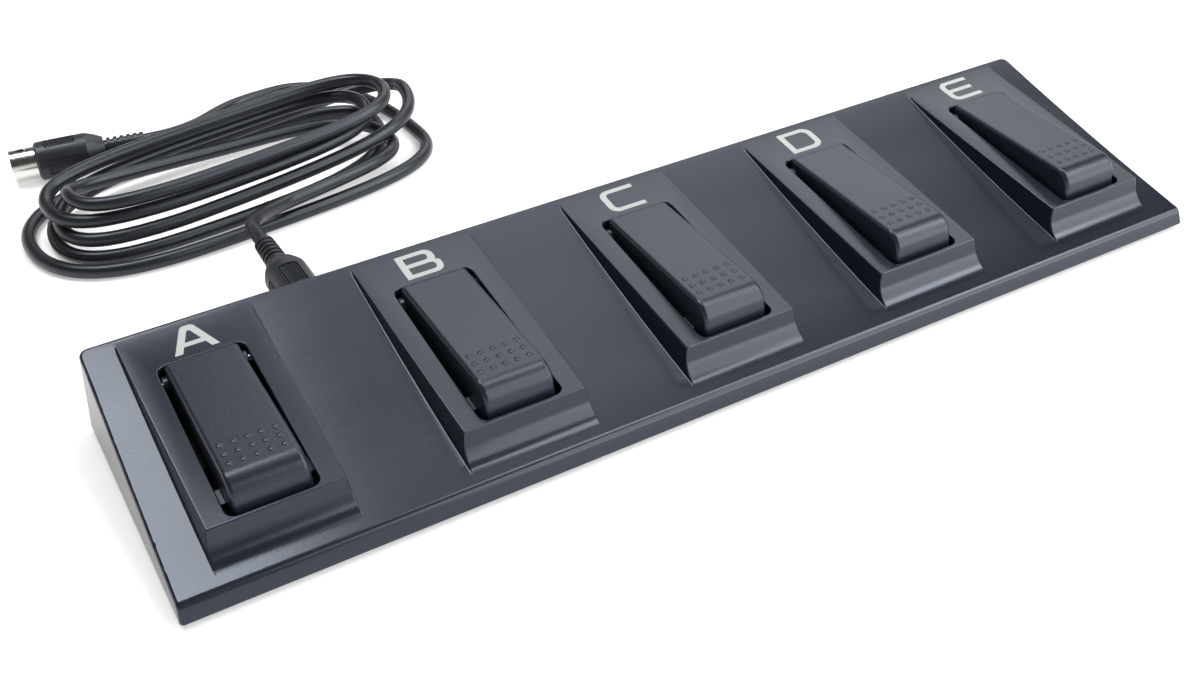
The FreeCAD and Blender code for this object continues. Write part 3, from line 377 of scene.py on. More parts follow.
def dot_tree():
    """Domes on a grid, for the front of a pedal."""
    b = Builder("Pedal Dots", [
        ("Columns", "Int"), ("Rows", "Int"), ("Column Pitch", "Float"), ("Row Pitch", "Float"),
        ("Dot Radius", "Float"), ("Dot Height", "Float"), ("Dot Sink", "Float"), ("Material", "Material")])
    g = b.given
    wide = b.maths("MULTIPLY", b.maths("SUBTRACT", g["Columns"], 1.0), g["Column Pitch"])
    deep = b.maths("MULTIPLY", b.maths("SUBTRACT", g["Rows"], 1.0), g["Row Pitch"])
    grid = b.node("GeometryNodeMeshGrid", {
        "Size X": wide, "Size Y": deep, "Vertices X": g["Columns"], "Vertices Y": g["Rows"]})
    ball = b.node("GeometryNodeMeshUVSphere", {"Segments": 20, "Rings": 12, "Radius": 1.0})
    size = b.node("ShaderNodeCombineXYZ", {
        "X": g["Dot Radius"], "Y": g["Dot Radius"], "Z": g["Dot Height"]})
    down = b.node("ShaderNodeCombineXYZ", {"Z": b.maths("MULTIPLY", g["Dot Sink"], -1.0)})
    dome = b.node("GeometryNodeTransform", {
        "Geometry": ball.outputs["Mesh"], "Scale": size.outputs[0], "Translation": down.outputs[0]})
    round_dome = b.node("GeometryNodeSetShadeSmooth", {"Geometry": dome.outputs[0], "Shade Smooth": True})
    dots = b.node("GeometryNodeInstanceOnPoints", {
        "Points": grid.outputs["Mesh"], "Instance": round_dome.outputs[0]})
    b.finish(dots.outputs["Instances"], g["Material"])
    return b


def screw_tree():
    """Pan-head screws with a cross recess, heads towards +Z, on the host's points."""
    b = Builder("Cross Recess Screws", [
        ("Places", "Geometry"), ("Head Radius", "Float"), ("Head Height", "Float"),
        ("Shank Radius", "Float"), ("Shank Length", "Float"), ("Recess Span", "Float"),
        ("Recess Width", "Float"), ("Material", "Material")])
    g = b.given
    half_head = b.maths("MULTIPLY", g["Head Height"], 0.5)
    top_edge = b.maths("MULTIPLY", g["Head Radius"], 0.86)
    head = b.node("GeometryNodeMeshCone", {
        "Vertices": 48, "Radius Top": top_edge, "Radius Bottom": g["Head Radius"],
        "Depth": g["Head Height"]})
    slots = []
    for label_x, label_y in (("Recess Span", "Recess Width"), ("Recess Width", "Recess Span")):
        size = b.node("ShaderNodeCombineXYZ", {
            "X": g[label_x], "Y": g[label_y], "Z": b.maths("MULTIPLY", g["Head Height"], 1.4)})
        cube = b.node("GeometryNodeMeshCube", {"Size": size.outputs[0]})
        lift = b.node("ShaderNodeCombineXYZ", {"Z": g["Head Height"]})
        slots.append(b.node("GeometryNodeTransform", {
            "Geometry": cube.outputs["Mesh"], "Translation": lift.outputs[0]}))
    cut = b.node("GeometryNodeMeshBoolean", {"Mesh 1": head.outputs["Mesh"]}, operation="DIFFERENCE")
    for slot in slots:
        b.tree.links.new(slot.outputs[0], cut.inputs["Mesh 2"])
    shank = b.node("GeometryNodeMeshCylinder", {
        "Vertices": 32, "Radius": g["Shank Radius"], "Depth": g["Shank Length"]})
    half_shank = b.maths("MULTIPLY", g["Shank Length"], 0.5)
    drop = b.maths("MULTIPLY", b.maths("ADD", half_shank, half_head), -1.0)
    down = b.node("ShaderNodeCombineXYZ", {"Z": drop})
    lowered = b.node("GeometryNodeTransform", {
        "Geometry": shank.outputs["Mesh"], "Translation": down.outputs[0]})
    one = b.node("GeometryNodeJoinGeometry")
    b.tree.links.new(cut.outputs["Mesh"], one.inputs[0])
    b.tree.links.new(lowered.outputs[0], one.inputs[0])
    raised = b.node("ShaderNodeCombineXYZ", {"Z": half_head})
    seated = b.node("GeometryNodeTransform", {
        "Geometry": one.outputs[0], "Translation": raised.outputs[0]})
    placed = b.node("GeometryNodeInstanceOnPoints", {
        "Points": g["Places"], "Instance": seated.outputs[0]})
    b.finish(placed.outputs["Instances"], g["Material"])
    return b


def spring_tree():
    """A helical compression spring with its lower end at the origin."""
    b = Builder("Helical Spring", [
        ("Turns", "Float"), ("Radius", "Float"), ("Height", "Float"), ("Wire Radius", "Float"),
        ("Material", "Material")])
    g = b.given
    spiral = b.node("GeometryNodeCurveSpiral", {
        "Resolution": 28, "Rotations": g["Turns"], "Start Radius": g["Radius"], "End Radius": g["Radius"],
        "Height": g["Height"]})
    wire = b.node("GeometryNodeCurvePrimitiveCircle", {"Resolution": 10, "Radius": g["Wire Radius"]})
    coil = b.node("GeometryNodeCurveToMesh", {
        "Curve": spiral.outputs[0], "Profile Curve": wire.outputs["Curve"], "Fill Caps": True})
    b.finish(coil.outputs["Mesh"], g["Material"])
    return b


def rib_tree():
    """Ribs across a round grip: arcs about +Y, centred on +X and repeated towards -Y."""
    b = Builder("Grip Ribs", [
        ("Count", "Int"), ("Pitch", "Float"), ("Radius", "Float"), ("Sweep", "Float"),
        ("Rib Radius", "Float"), ("Material", "Material")])
    g = b.given
    arc = b.node("GeometryNodeCurveArc", {
        "Resolution": 14, "Radius": g["Radius"], "Start Angle": b.maths("MULTIPLY", g["Sweep"], -0.5),
        "Sweep Angle": g["Sweep"]})
    section = b.node("GeometryNodeCurvePrimitiveCircle", {"Resolution": 8, "Radius": g["Rib Radius"]})
    rib = b.node("GeometryNodeCurveToMesh", {
        "Curve": arc.outputs["Curve"], "Profile Curve": section.outputs["Curve"], "Fill Caps": True})
    turned = b.node("GeometryNodeTransform", {
        "Geometry": rib.outputs["Mesh"], "Rotation": (math.pi / 2, 0.0, 0.0)})
    step = b.node("ShaderNodeCombineXYZ", {"Y": b.maths("MULTIPLY", g["Pitch"], -1.0)})
    line = b.node("GeometryNodeMeshLine", {"Count": g["Count"], "Offset": step.outputs[0]})
    ribs = b.node("GeometryNodeInstanceOnPoints", {
        "Points": line.outputs["Mesh"], "Instance": turned.outputs[0]})
    b.finish(ribs.outputs["Instances"], g["Material"])
    return b


def knurl_tree():
    """Small points over a round grip, centred on +Z and on the middle of the length."""
    b = Builder("Grip Knurl", [
        ("Rows", "Int"), ("Columns", "Int"), ("Length", "Float"), ("Radius", "Float"), ("Sweep", "Float"),
        ("Point Radius", "Float"), ("Point Height", "Float"), ("Material", "Material")])
    g = b.given
    grid = b.node("GeometryNodeMeshGrid", {
        "Size X": g["Sweep"], "Size Y": g["Length"], "Vertices X": g["Columns"], "Vertices Y": g["Rows"]})
    place = b.node("ShaderNodeSeparateXYZ", {"Vector": b.node("GeometryNodeInputPosition").outputs[0]})
    kept = b.node("GeometryNodeStoreNamedAttribute", {
        "Geometry": grid.outputs["Mesh"], "Name": "turn", "Value": place.outputs["X"]}, data_type="FLOAT")
    named = b.node("GeometryNodeInputNamedAttribute", {"Name": "turn"}, data_type="FLOAT")
    turn = named.outputs["Attribute"]
    round_place = b.node("ShaderNodeCombineXYZ", {
        "X": b.maths("MULTIPLY", b.maths("SINE", turn), g["Radius"]), "Y": place.outputs["Y"],
        "Z": b.maths("MULTIPLY", b.maths("COSINE", turn), g["Radius"])})
    bent = b.node("GeometryNodeSetPosition", {
        "Geometry": kept.outputs[0], "Position": round_place.outputs[0]})
    point = b.node("GeometryNodeMeshCone", {
        "Vertices": 4, "Radius Top": 0.0, "Radius Bottom": g["Point Radius"], "Depth": g["Point Height"]})
    lean = b.node("ShaderNodeCombineXYZ", {"Y": turn})
    points = b.node("GeometryNodeInstanceOnPoints", {
        "Points": bent.outputs[0], "Instance": point.outputs["Mesh"], "Rotation": lean.outputs[0]})
    b.finish(points.outputs["Instances"], g["Material"])
    return b


# Cord route
def heading(degrees):
    a = math.radians(degrees)
    return Vector((math.cos(a), math.sin(a), 0.0))


def coil_place(x, y, layer):
    return Vector((x, y, CORD_RADIUS + layer * LAYER))


def loop_quarter(p0, t0, p1, t1, count):
    """Points of a quarter loop from p0 to p1, p1 left out: oval along its side and round at its end."""
    across = p1 - p0
    cross = t0.x * t1.y - t0.y * t1.x
    centre = (p1 - t0 * ((across.x * t1.y - across.y * t1.x) / cross)).to_2d()
    ends_round = abs(t1.y) > abs(t0.y)
    end, side = (p1.to_2d(), p0.to_2d()) if ends_round else (p0.to_2d(), p1.to_2d())
    reach, width = (end - centre).length, (side - centre).length
    radius = min(reach, width)
    swell = 1 / math.cos(math.pi / 4 / count)
    points = []
    for i in range(count):
        step = count - i if ends_round else i
        a = math.pi / 2 * step / count
        turn = math.pi / 2 * min(1.0, step / (count - 1))
        share = math.cos(a)
        along = reach * math.cos(a) * (1 - share) + (reach - radius * (1 - math.cos(turn))) * share
        out = width * math.sin(a) * (1 - share) + width * math.sin(turn) * share
        flat = centre + ((end - centre).normalized() * along + (side - centre).normalized() * out) * swell
        points.append(Vector((*flat, p0.z + across.z * i / count)))
    return points


def coil_points():
    stations = [(coil_place(*COIL_START), heading(COIL_START_HEADING))]
    for loop in COIL_LOOPS:
        stations += [(coil_place(*place), heading(a)) for place, a in zip(loop, COIL_HEADINGS)]
    stations.append((coil_place(*COIL_END), heading(COIL_HEADINGS[1])))
    points = []
    for (p0, t0), (p1, t1) in zip(stations, stations[1:]):
        points += loop_quarter(p0, t0, p1, t1, QUARTER_STEPS)
    return points + [stations[-1][0]]


def plug_outlet(plug):
    back = heading(plug[1]) * -1
    return (plug[0] + back * PLUG_LENGTH) / MM, back


def cord_points():
    outlet, out = plug_outlet(NEAR_PLUG)
    end, away = plug_outlet(FAR_PLUG)
    coil = coil_points()
    first = coil[0] - heading(COIL_START_HEADING) * COIL_ENTRY
    last = coil[-1] + heading(COIL_HEADINGS[1]) * COIL_EXIT
    points = [outlet, outlet + out * NEAR_STRAIGHT] + [Vector(p) for p in LEAD_POINTS] + [first]
    points += coil
    points += [last] + [Vector(p) for p in TAIL_POINTS] + [end + away * FAR_STRAIGHT, end]
    return [p * MM for p in points]


# Letters: outlines in millimetres as corners with their rounding radius, width 14.6 by height 12.6
LETTERS = {
    "A": [[(0, 0, 0), (2.6, 0, 0), (3.8, 2.9, 0), (10.8, 2.9, 0), (12.0, 0, 0), (14.6, 0, 0),
           (9.3, 12.6, 1.9), (5.3, 12.6, 1.9)],
          [(4.6, 4.8, 0), (7.3, 11.2, 0.7), (10.0, 4.8, 0)]],
    "B": [[(0, 0, 0), (14.2, 0, 3.2), (14.2, 5.7, 1.6), (12.6, 6.5, 0), (13.2, 7.3, 1.2), (13.2, 12.6, 3.2),
           (0, 12.6, 0)],
          [(2.4, 1.9, 0), (2.4, 5.5, 0), (11.9, 5.5, 1.5), (11.9, 1.9, 1.5)],
          [(2.4, 7.4, 0), (2.4, 10.7, 0), (10.8, 10.7, 1.4), (10.8, 7.4, 1.4)]],
    "C": [[(14.2, 0, 0), (14.2, 1.9, 0), (2.4, 1.9, 1.7), (2.4, 10.7, 1.7), (14.2, 10.7, 0),
           (14.2, 12.6, 0), (0, 12.6, 3.6), (0, 0, 3.6)]],
    "D": [[(0, 0, 0), (14.4, 0, 4.0), (14.4, 12.6, 4.0), (0, 12.6, 0)],
          [(2.4, 1.9, 0), (2.4, 10.7, 0), (12.0, 10.7, 2.2), (12.0, 1.9, 2.2)]],
    "E": [[(14.2, 0, 0), (14.2, 1.9, 0), (2.4, 1.9, 1.7), (2.4, 5.4, 0), (13.2, 5.4, 0), (13.2, 7.3, 0),
           (2.4, 7.3, 0), (2.4, 10.7, 1.7), (14.2, 10.7, 0), (14.2, 12.6, 0), (0, 12.6, 3.6), (0, 0, 3.6)]],
}


def rounded_outline(corners, steps=8):
    """The outline's points, with each corner's rounding drawn as a short arc."""
    points = []
    count = len(corners)
    for i, (x, y, radius) in enumerate(corners):
        here = Vector((x, y))
        if radius == 0:
            points.append(here)
            continue
        before = (Vector(corners[i - 1][:2]) - here).normalized()
        after = (Vector(corners[(i + 1) % count][:2]) - here).normalized()
        half = before.angle(after) / 2
        reach = radius / math.tan(half)
        centre = here + (before + after).normalized() * radius / math.sin(half)
        start, end = here + before * reach - centre, here + after * reach - centre
        sweep = start.angle_signed(end)
        for k in range(steps + 1):
            a = -sweep * k / steps
            points.append(centre + Vector((start.x * math.cos(a) - start.y * math.sin(a),
                                           start.x * math.sin(a) + start.y * math.cos(a))))
    return points


def letter_mesh(name, outlines, thickness):
    curve = bpy.data.curves.new(name, "CURVE")
    curve.dimensions = "2D"
    curve.fill_mode = "BOTH"
    curve.extrude = thickness / 2
    for corners in outlines:
        points = rounded_outline(corners)
        spline = curve.splines.new("POLY")
        spline.points.add(len(points) - 1)
        for place, p in zip(spline.points, points):
            place.co = (p.x * MM, p.y * MM, 0.0, 1.0)
        spline.use_cyclic_u = True
    host = new_object(name, curve)
    mesh = evaluated_mesh(host)
    bpy.data.objects.remove(host)
    return mesh


# Sizes and colours that a user may change
class CordSettings(bpy.types.PropertyGroup):
    diameter: bpy.props.FloatProperty(
        name="Diameter", description="Outside diameter of the cord's jacket", default=0.0055, unit="LENGTH")
    length: bpy.props.FloatProperty(
        name="Length", description="Length of the cord from plug to plug", default=1.98, unit="LENGTH")
    colour: bpy.props.FloatVectorProperty(
        name="Colour", description="Jacket colour", default=(0.0095, 0.0100, 0.0120), subtype="COLOR")


class PlasticSettings(bpy.types.PropertyGroup):
    colour: bpy.props.FloatVectorProperty(
        name="Colour", description="Colour of the housing and the pedals", default=(0.0100, 0.0130, 0.0198),
        subtype="COLOR")
    roughness: bpy.props.FloatProperty(
        name="Roughness", description="Roughness of the moulded surface", default=0.22)
    edge: bpy.props.FloatProperty(
        name="Edge Radius", description="Width of the broken edges", default=0.00048,
        unit="LENGTH", precision=5)
    grain: bpy.props.FloatProperty(
        name="Grain", description="Size of the mould's grain", default=0.00055, unit="LENGTH", precision=5)
    depth: bpy.props.FloatProperty(
        name="Grain Depth", description="Depth of the mould's grain", default=0.000017,
        unit="LENGTH", precision=6)


class DotSettings(bpy.types.PropertyGroup):
    columns: bpy.props.IntProperty(name="Columns", description="Dots across a pedal", default=5)
    rows: bpy.props.IntProperty(name="Rows", description="Dots along a pedal", default=3)
    column_pitch: bpy.props.FloatProperty(
        name="Column Pitch", description="Distance between dots across", default=0.00422,
        unit="LENGTH", precision=5)
    row_pitch: bpy.props.FloatProperty(
        name="Row Pitch", description="Distance between dots along", default=0.00435,
        unit="LENGTH", precision=5)
    middle: bpy.props.FloatProperty(
        name="Middle Row", description="Place of the middle row", default=-0.02013,
        unit="LENGTH", precision=5)
    radius: bpy.props.FloatProperty(
        name="Radius", description="Radius of a dot", default=0.00125, unit="LENGTH", precision=5)
    height: bpy.props.FloatProperty(
        name="Height", description="Half the height of a whole dot", default=0.00055,
        unit="LENGTH", precision=5)
    sink: bpy.props.FloatProperty(
        name="Sink", description="Depth of a dot's middle in the pedal", default=0.00022,
        unit="LENGTH", precision=5)


class PlugSettings(bpy.types.PropertyGroup):
    pad_length: bpy.props.FloatProperty(
        name="Pad Length", description="Length of a grip pad", default=0.0125, unit="LENGTH", precision=5)
    pad_sweep: bpy.props.FloatProperty(
        name="Pad Sweep", description="Angle that a grip pad spans, in degrees", default=44.0)
    grip_radius: bpy.props.FloatProperty(
        name="Grip Radius", description="Radius of the grip inside a pad", default=0.00752, unit="LENGTH",
        precision=5)
    ribs: bpy.props.IntProperty(name="Ribs", description="Ribs in a side pad", default=15)
    rib_radius: bpy.props.FloatProperty(
        name="Rib Radius", description="Radius of a rib's section", default=0.00036,
        unit="LENGTH", precision=5)
    knurl_rows: bpy.props.IntProperty(name="Knurl Rows", description="Points along a top pad", default=15)
    knurl_columns: bpy.props.IntProperty(
        name="Knurl Columns", description="Points across a top pad", default=8)
    point_radius: bpy.props.FloatProperty(
        name="Point Radius", description="Radius of a knurl point", default=0.00046,
        unit="LENGTH", precision=5)
    point_height: bpy.props.FloatProperty(
        name="Point Height", description="Height of a knurl point", default=0.00042,
        unit="LENGTH", precision=5)


class WorksSettings(bpy.types.PropertyGroup):
    spring_turns: bpy.props.FloatProperty(
        name="Spring Turns", description="Turns of a return spring", default=8.0)
    wire: bpy.props.FloatProperty(
        name="Spring Wire", description="Radius of the spring's wire", default=0.00055,
        unit="LENGTH", precision=5)
    head_radius: bpy.props.FloatProperty(
        name="Screw Head Radius", description="Radius of a base screw's head", default=0.0028,
        unit="LENGTH",
        precision=5)
    head_height: bpy.props.FloatProperty(
        name="Screw Head Height", description="Height of a base screw's head", default=0.0011,
        unit="LENGTH",
        precision=5)


class LetterSettings(bpy.types.PropertyGroup):
    left: bpy.props.FloatProperty(
        name="Left", description="Left edge of a letter from its pedal's middle", default=-0.0071,
        unit="LENGTH",
        precision=5)
    front: bpy.props.FloatProperty(
        name="Front", description="Front edge of the letters", default=0.0335, unit="LENGTH", precision=5)
    thickness: bpy.props.FloatProperty(
        name="Thickness", description="Thickness of the print", default=0.00006, unit="LENGTH", precision=6)
    colour: bpy.props.FloatVectorProperty(
        name="Colour", description="Ink colour", default=(0.375, 0.385, 0.375), subtype="COLOR")


class StageSettings(bpy.types.PropertyGroup):
    floor: bpy.props.FloatVectorProperty(
        name="Floor", description="Floor colour", default=(0.82, 0.82, 0.82), subtype="COLOR")
    glow: bpy.props.FloatProperty(
        name="Glow", description="The floor's own light near the object", default=0.34)
    back: bpy.props.FloatProperty(
        name="Back Softbox", description="Power of the soft light behind", default=20.0)
    left: bpy.props.FloatProperty(
        name="Left Softbox", description="Power of the soft light on the left", default=11.0)
    front: bpy.props.FloatProperty(
        name="Front Softbox", description="Power of the soft light in front", default=24.0)
    top: bpy.props.FloatProperty(
        name="Top Softbox", description="Power of the soft light overhead", default=13.0)
    sky: bpy.props.FloatProperty(
        name="Sky", description="Strength of the light from all round", default=1.0)
    ceiling: bpy.props.FloatProperty(
        name="Ceiling", description="Share of the sky's light overhead", default=0.02)


# Operators
class FOOTCONTROLLER_OT_cord(bpy.types.Operator):
    """Lays the cord from the housing's plug through its loose coil to the free plug"""

    bl_idname = "footcontroller.cord"
    bl_label = "Cord"

    def execute(self, context):
        s = settings("cord")
        points = cord_points()
        curve = bpy.data.curves.new("cord", "CURVE")
        curve.dimensions = "3D"
        curve.bevel_depth = s.diameter / 2
        curve.bevel_resolution = 5
        curve.use_fill_caps = True
        curve.resolution_u = 8
        spline = curve.splines.new("NURBS")
        spline.points.add(len(points) - 1)
        for place, p in zip(spline.points, points):
            place.co = (*p, 1.0)
        spline.order_u = 3
        spline.use_endpoint_u = True
        cord = new_object("cord", curve)
        curve.materials.append(soft_rubber("Cord Jacket", s.colour, 0.34, 0.0009, 0.00002))
        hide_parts("cord_lead", "cord_coil", "cord_tail")
        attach(cord, "base")
        return {"FINISHED"}


class FOOTCONTROLLER_OT_housing(bpy.types.Operator):
    """Finishes the moulded top housing and the base plate"""

    bl_idname = "footcontroller.housing"
    bl_label = "Housing"

    def execute(self, context):
        s = settings("plastic")
        material = moulded_plastic("Housing Plastic", s.colour, s.roughness, s.grain, s.depth)
        shell = softened("top_housing", "housing_shell", material, s.edge)
        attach(shell, "base")
        under = [c * BASE_SHADE for c in s.colour]
        paint(["base_plate"], moulded_plastic("Base Plastic", under, BASE_ROUGHNESS, s.grain, s.depth))
        return {"FINISHED"}


class FOOTCONTROLLER_OT_pedals(bpy.types.Operator):
    """Finishes the five pedals and raises the dots at their front"""

    bl_idname = "footcontroller.pedals"
    bl_label = "Pedals"

    def execute(self, context):
        s, d = settings("plastic"), settings("dots")
        material = moulded_plastic(
            "Pedal Plastic", s.colour, s.roughness + PEDAL_ROUGHER, s.grain, s.depth * PEDAL_COARSER)
        tree = dot_tree()
        tilt = Matrix.Rotation(math.atan(PEDAL_PLANE[2]), 4, "X")
        for number, x in enumerate(PEDAL_XS, 1):
            cover = softened(
                "pedal_%d" % number, "pedal_cover_%d" % number, material, s.edge / 2, PEDAL_SHARPEST)
            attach(cover, "pedal_%d" % number)
            dots = tree.piece("pedal_dots_%d" % number, {
                "Columns": d.columns, "Rows": d.rows, "Column Pitch": d.column_pitch,
                "Row Pitch": d.row_pitch, "Dot Radius": d.radius, "Dot Height": d.height,
                "Dot Sink": d.sink, "Material": material})
            place = Matrix.Translation((x, d.middle, plane_z(PEDAL_PLANE, d.middle))) @ tilt
            dots.data.transform(place)
            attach(dots, "pedal_%d" % number)
        return {"FINISHED"}


class FOOTCONTROLLER_OT_letters(bpy.types.Operator):
    """Prints the letters A to E behind the pedals"""

    bl_idname = "footcontroller.letters"
    bl_label = "Letters"

    def execute(self, context):
        s = settings("letters")
        ink = Finish("Letter Ink", s.colour, 0.45)
        ink.vary_colour(ink.noise(0.004, 2.0), 0.96, 1.03)
        ink.bump(ink.noise(0.0006, 2.0), 0.00002)
        turn = Matrix.Rotation(math.atan(PLATFORM_PLANE[2]), 4, "X")
        for name, x in zip("ABCDE", PEDAL_XS):
            mesh = letter_mesh("letter_" + name, LETTERS[name], s.thickness)
            mesh.materials.clear()
            mesh.materials.append(ink.material)
            place = Vector((x + s.left, s.front, plane_z(PLATFORM_PLANE, s.front)))
            mesh.transform(Matrix.Translation(place) @ turn)
            letter = new_object("letter_" + name, mesh)
            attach(letter, "base")
        return {"FINISHED"}


class FOOTCONTROLLER_OT_plugs(bpy.types.Operator):
    """Finishes both plugs: moulded boots, plated shells, inserts and pins"""

    bl_idname = "footcontroller.plugs"
    bl_label = "Plugs"

    def execute(self, context):
        boot = soft_rubber("Boot Rubber", (0.012, 0.0125, 0.014), 0.40, 0.0005, 0.00002)
        plated = brushed_metal("Nickel Plate", (0.70, 0.69, 0.66), 0.20, (1.0, 6.0, 1.0))
        insert = soft_rubber("Insert Plastic", (0.02, 0.02, 0.02), 0.5, 0.0005, 0.00001)
        pins = brushed_metal("Pin Metal", (0.78, 0.74, 0.62), 0.18, (1.0, 6.0, 1.0))
        paint(["near_plug_boot", "far_plug_boot"], boot)
        paint(["near_plug_shell", "far_plug_shell"], plated)
        paint(["near_plug_insert", "far_plug_insert"], insert)
        paint(["near_plug_pins", "far_plug_pins"], pins)
        s = settings("plugs")
        ribs, knurl = rib_tree(), knurl_tree()
        first = -(PLUG_BODY - s.pad_length) / 2
        span = s.pad_length - 2 * PAD_MARGIN
        sweep = math.radians(s.pad_sweep)
        for side, (place, direction) in (("near", NEAR_PLUG), ("far", FAR_PLUG)):
            turn = Matrix.Translation(place) @ Matrix.Rotation(math.radians(direction - 90.0), 4, "Z")
            grips = []
            for number in (1, 2):
                opposite = Matrix.Rotation(math.pi * (number - 1), 4, "Y")
                grip = ribs.piece("%s_grip_ribs_%d" % (side, number), {
                    "Count": s.ribs, "Pitch": span / (s.ribs - 1), "Radius": s.grip_radius, "Sweep": sweep,
                    "Rib Radius": s.rib_radius, "Material": boot})
                grip.data.transform(opposite @ Matrix.Translation((0, first - PAD_MARGIN, 0)))
                grips.append(grip)
                grip = knurl.piece("%s_grip_knurl_%d" % (side, number), {
                    "Rows": s.knurl_rows, "Columns": s.knurl_columns, "Length": span,
                    "Radius": s.grip_radius, "Sweep": sweep, "Point Radius": s.point_radius,
                    "Point Height": s.point_height, "Material": boot})
                grip.data.transform(opposite @ Matrix.Translation((0, first - s.pad_length / 2, 0)))
                grips.append(grip)
            for grip in grips:
                grip.data.transform(turn)
                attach(grip, "base")
        return {"FINISHED"}


def base_screw_heads(material):
    """The base plate's screws, with their heads turned down."""
    s = settings("works")
    heads = screw_tree().piece("base_screw_heads", {
        "Head Radius": s.head_radius, "Head Height": s.head_height, "Shank Radius": SHANK_RADIUS,
        "Shank Length": SHANK_LENGTH, "Recess Span": RECESS_SPAN, "Recess Width": RECESS_WIDTH,
        "Material": material},
        [(x, -y, -BASE_SCREW_SEAT) for x, y in BASE_SCREWS])
    heads.data.transform(Matrix.Rotation(math.pi, 4, "X"))
    smooth(heads)
    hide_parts("base_screws")
    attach(heads, "base")


def return_springs(material):
    """A wound spring under each pedal, as tall as the CAD spring that it stands in for."""
    s = settings("works")
    tree = spring_tree()
    for number, x in enumerate(PEDAL_XS, 1):
        node = NODES["return_spring_%d" % number]
        top = max((node.matrix_world @ Vector(corner)).z for corner in node.bound_box)
        rise = top - SPRING_FOOT
        spring = tree.piece("spring_wire_%d" % number, {
            "Turns": s.spring_turns, "Radius": SPRING_RADIUS, "Height": rise - 2 * s.wire,
            "Wire Radius": s.wire, "Material": material})
        smooth(spring, 60.0)
        spring.data.transform(Matrix.Translation((x, SPRING_Y, SPRING_FOOT + s.wire)))
        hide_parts("return_spring_%d" % number)
        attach(spring, "base")
        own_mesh(spring)


class FOOTCONTROLLER_OT_inside(bpy.types.Operator):
    """Finishes what is inside and under the housing: board, switches, springs, shafts, screws and feet"""

    bl_idname = "footcontroller.inside"
    bl_label = "Works Inside"

    def execute(self, context):
        steel = brushed_metal("Bright Steel", (0.55, 0.55, 0.56), 0.28, (6.0, 1.0, 1.0))
        paint(["pivot_shafts"], steel)
        screws = brushed_metal("Zinc Screws", (0.50, 0.50, 0.48), 0.34, (1.0, 1.0, 1.0))
        paint(["board_screws"], screws)
        base_screw_heads(screws)
        return_springs(brushed_metal("Spring Wire", (0.42, 0.43, 0.45), 0.30, (1.0, 1.0, 6.0)))
        paint(["rubber_feet", "stop_pads"],
              soft_rubber("Foot Rubber", (0.018, 0.018, 0.018), 0.72, 0.0007, 0.00005))
        board = Finish("Board Mask", (0.004, 0.006, 0.005), 0.45)
        board.vary_colour(board.noise(0.0030, 1.0, (1.0, 5.0, 1.0)), 0.75, 1.25)
        paint(["circuit_board"], board.material)
        paint(["switch_bodies"],
              soft_rubber("Switch Plastic", (0.015, 0.015, 0.016), 0.45, 0.0006, 0.00002))
        paint(["switch_plunger_%d" % (i + 1) for i in range(PEDAL_COUNT)],
              soft_rubber("Plunger Plastic", (0.55, 0.53, 0.48), 0.40, 0.0006, 0.00002))
        paint(["din_socket"], soft_rubber("Socket Plastic", (0.014, 0.014, 0.015), 0.42, 0.0006, 0.00002))
        return {"FINISHED"}


def area_light(name, size, place, aim, power, spin):
    lamp = bpy.data.lights.new(name, "AREA")
    lamp.shape = "RECTANGLE"
    lamp.size, lamp.size_y = size
    lamp.energy = power
    obj = link(bpy.data.objects.new(name, lamp))
    obj.location = place
    facing = (Vector(aim) - Vector(place)).to_track_quat("-Z", "Y")
    obj.rotation_euler = (facing @ Quaternion((0, 0, 1), math.radians(spin))).to_euler()
    return obj


def background_share(tree, for_light, for_sight):
    """Mixes two shaders so that camera, glossy and transmission rays meet the second."""
    path = tree.nodes.new("ShaderNodeLightPath")
    total = path.outputs["Is Camera Ray"]
    for label in ("Is Glossy Ray", "Is Transmission Ray"):
        add = tree.nodes.new("ShaderNodeMath")
        add.operation = "ADD"
        add.use_clamp = True
        tree.links.new(total, add.inputs[0])
        tree.links.new(path.outputs[label], add.inputs[1])
        total = add.outputs[0]
    mix = tree.nodes.new("ShaderNodeMixShader")
    tree.links.new(total, mix.inputs[0])
    tree.links.new(for_light.outputs[0], mix.inputs[1])
    tree.links.new(for_sight.outputs[0], mix.inputs[2])
    return mix


def photo_camera():
    """The camera in the photograph's place, looking down on the front left corner."""
    camera = bpy.data.cameras.new("Camera")
    camera.lens = LENS
    camera.sensor_width = SENSOR
    camera.shift_x, camera.shift_y = SHIFT
    camera.clip_start = 0.01
    eye = link(bpy.data.objects.new("Camera", camera))
    turned, risen, rolled = (math.radians(v) for v in CAMERA_ANGLES)
    back = Vector((
        math.sin(turned) * math.cos(risen), -math.cos(turned) * math.cos(risen), math.sin(risen)))
    right = (-back).cross(Vector((0, 0, 1))).normalized()
    up = right.cross(-back)
    across = right * math.cos(rolled) + up * math.sin(rolled)
    above = up * math.cos(rolled) - right * math.sin(rolled)
    turn = Matrix((across, above, back)).transposed().to_4x4()
    eye.matrix_world = Matrix.Translation(CAMERA_PLACE) @ turn
    return eye


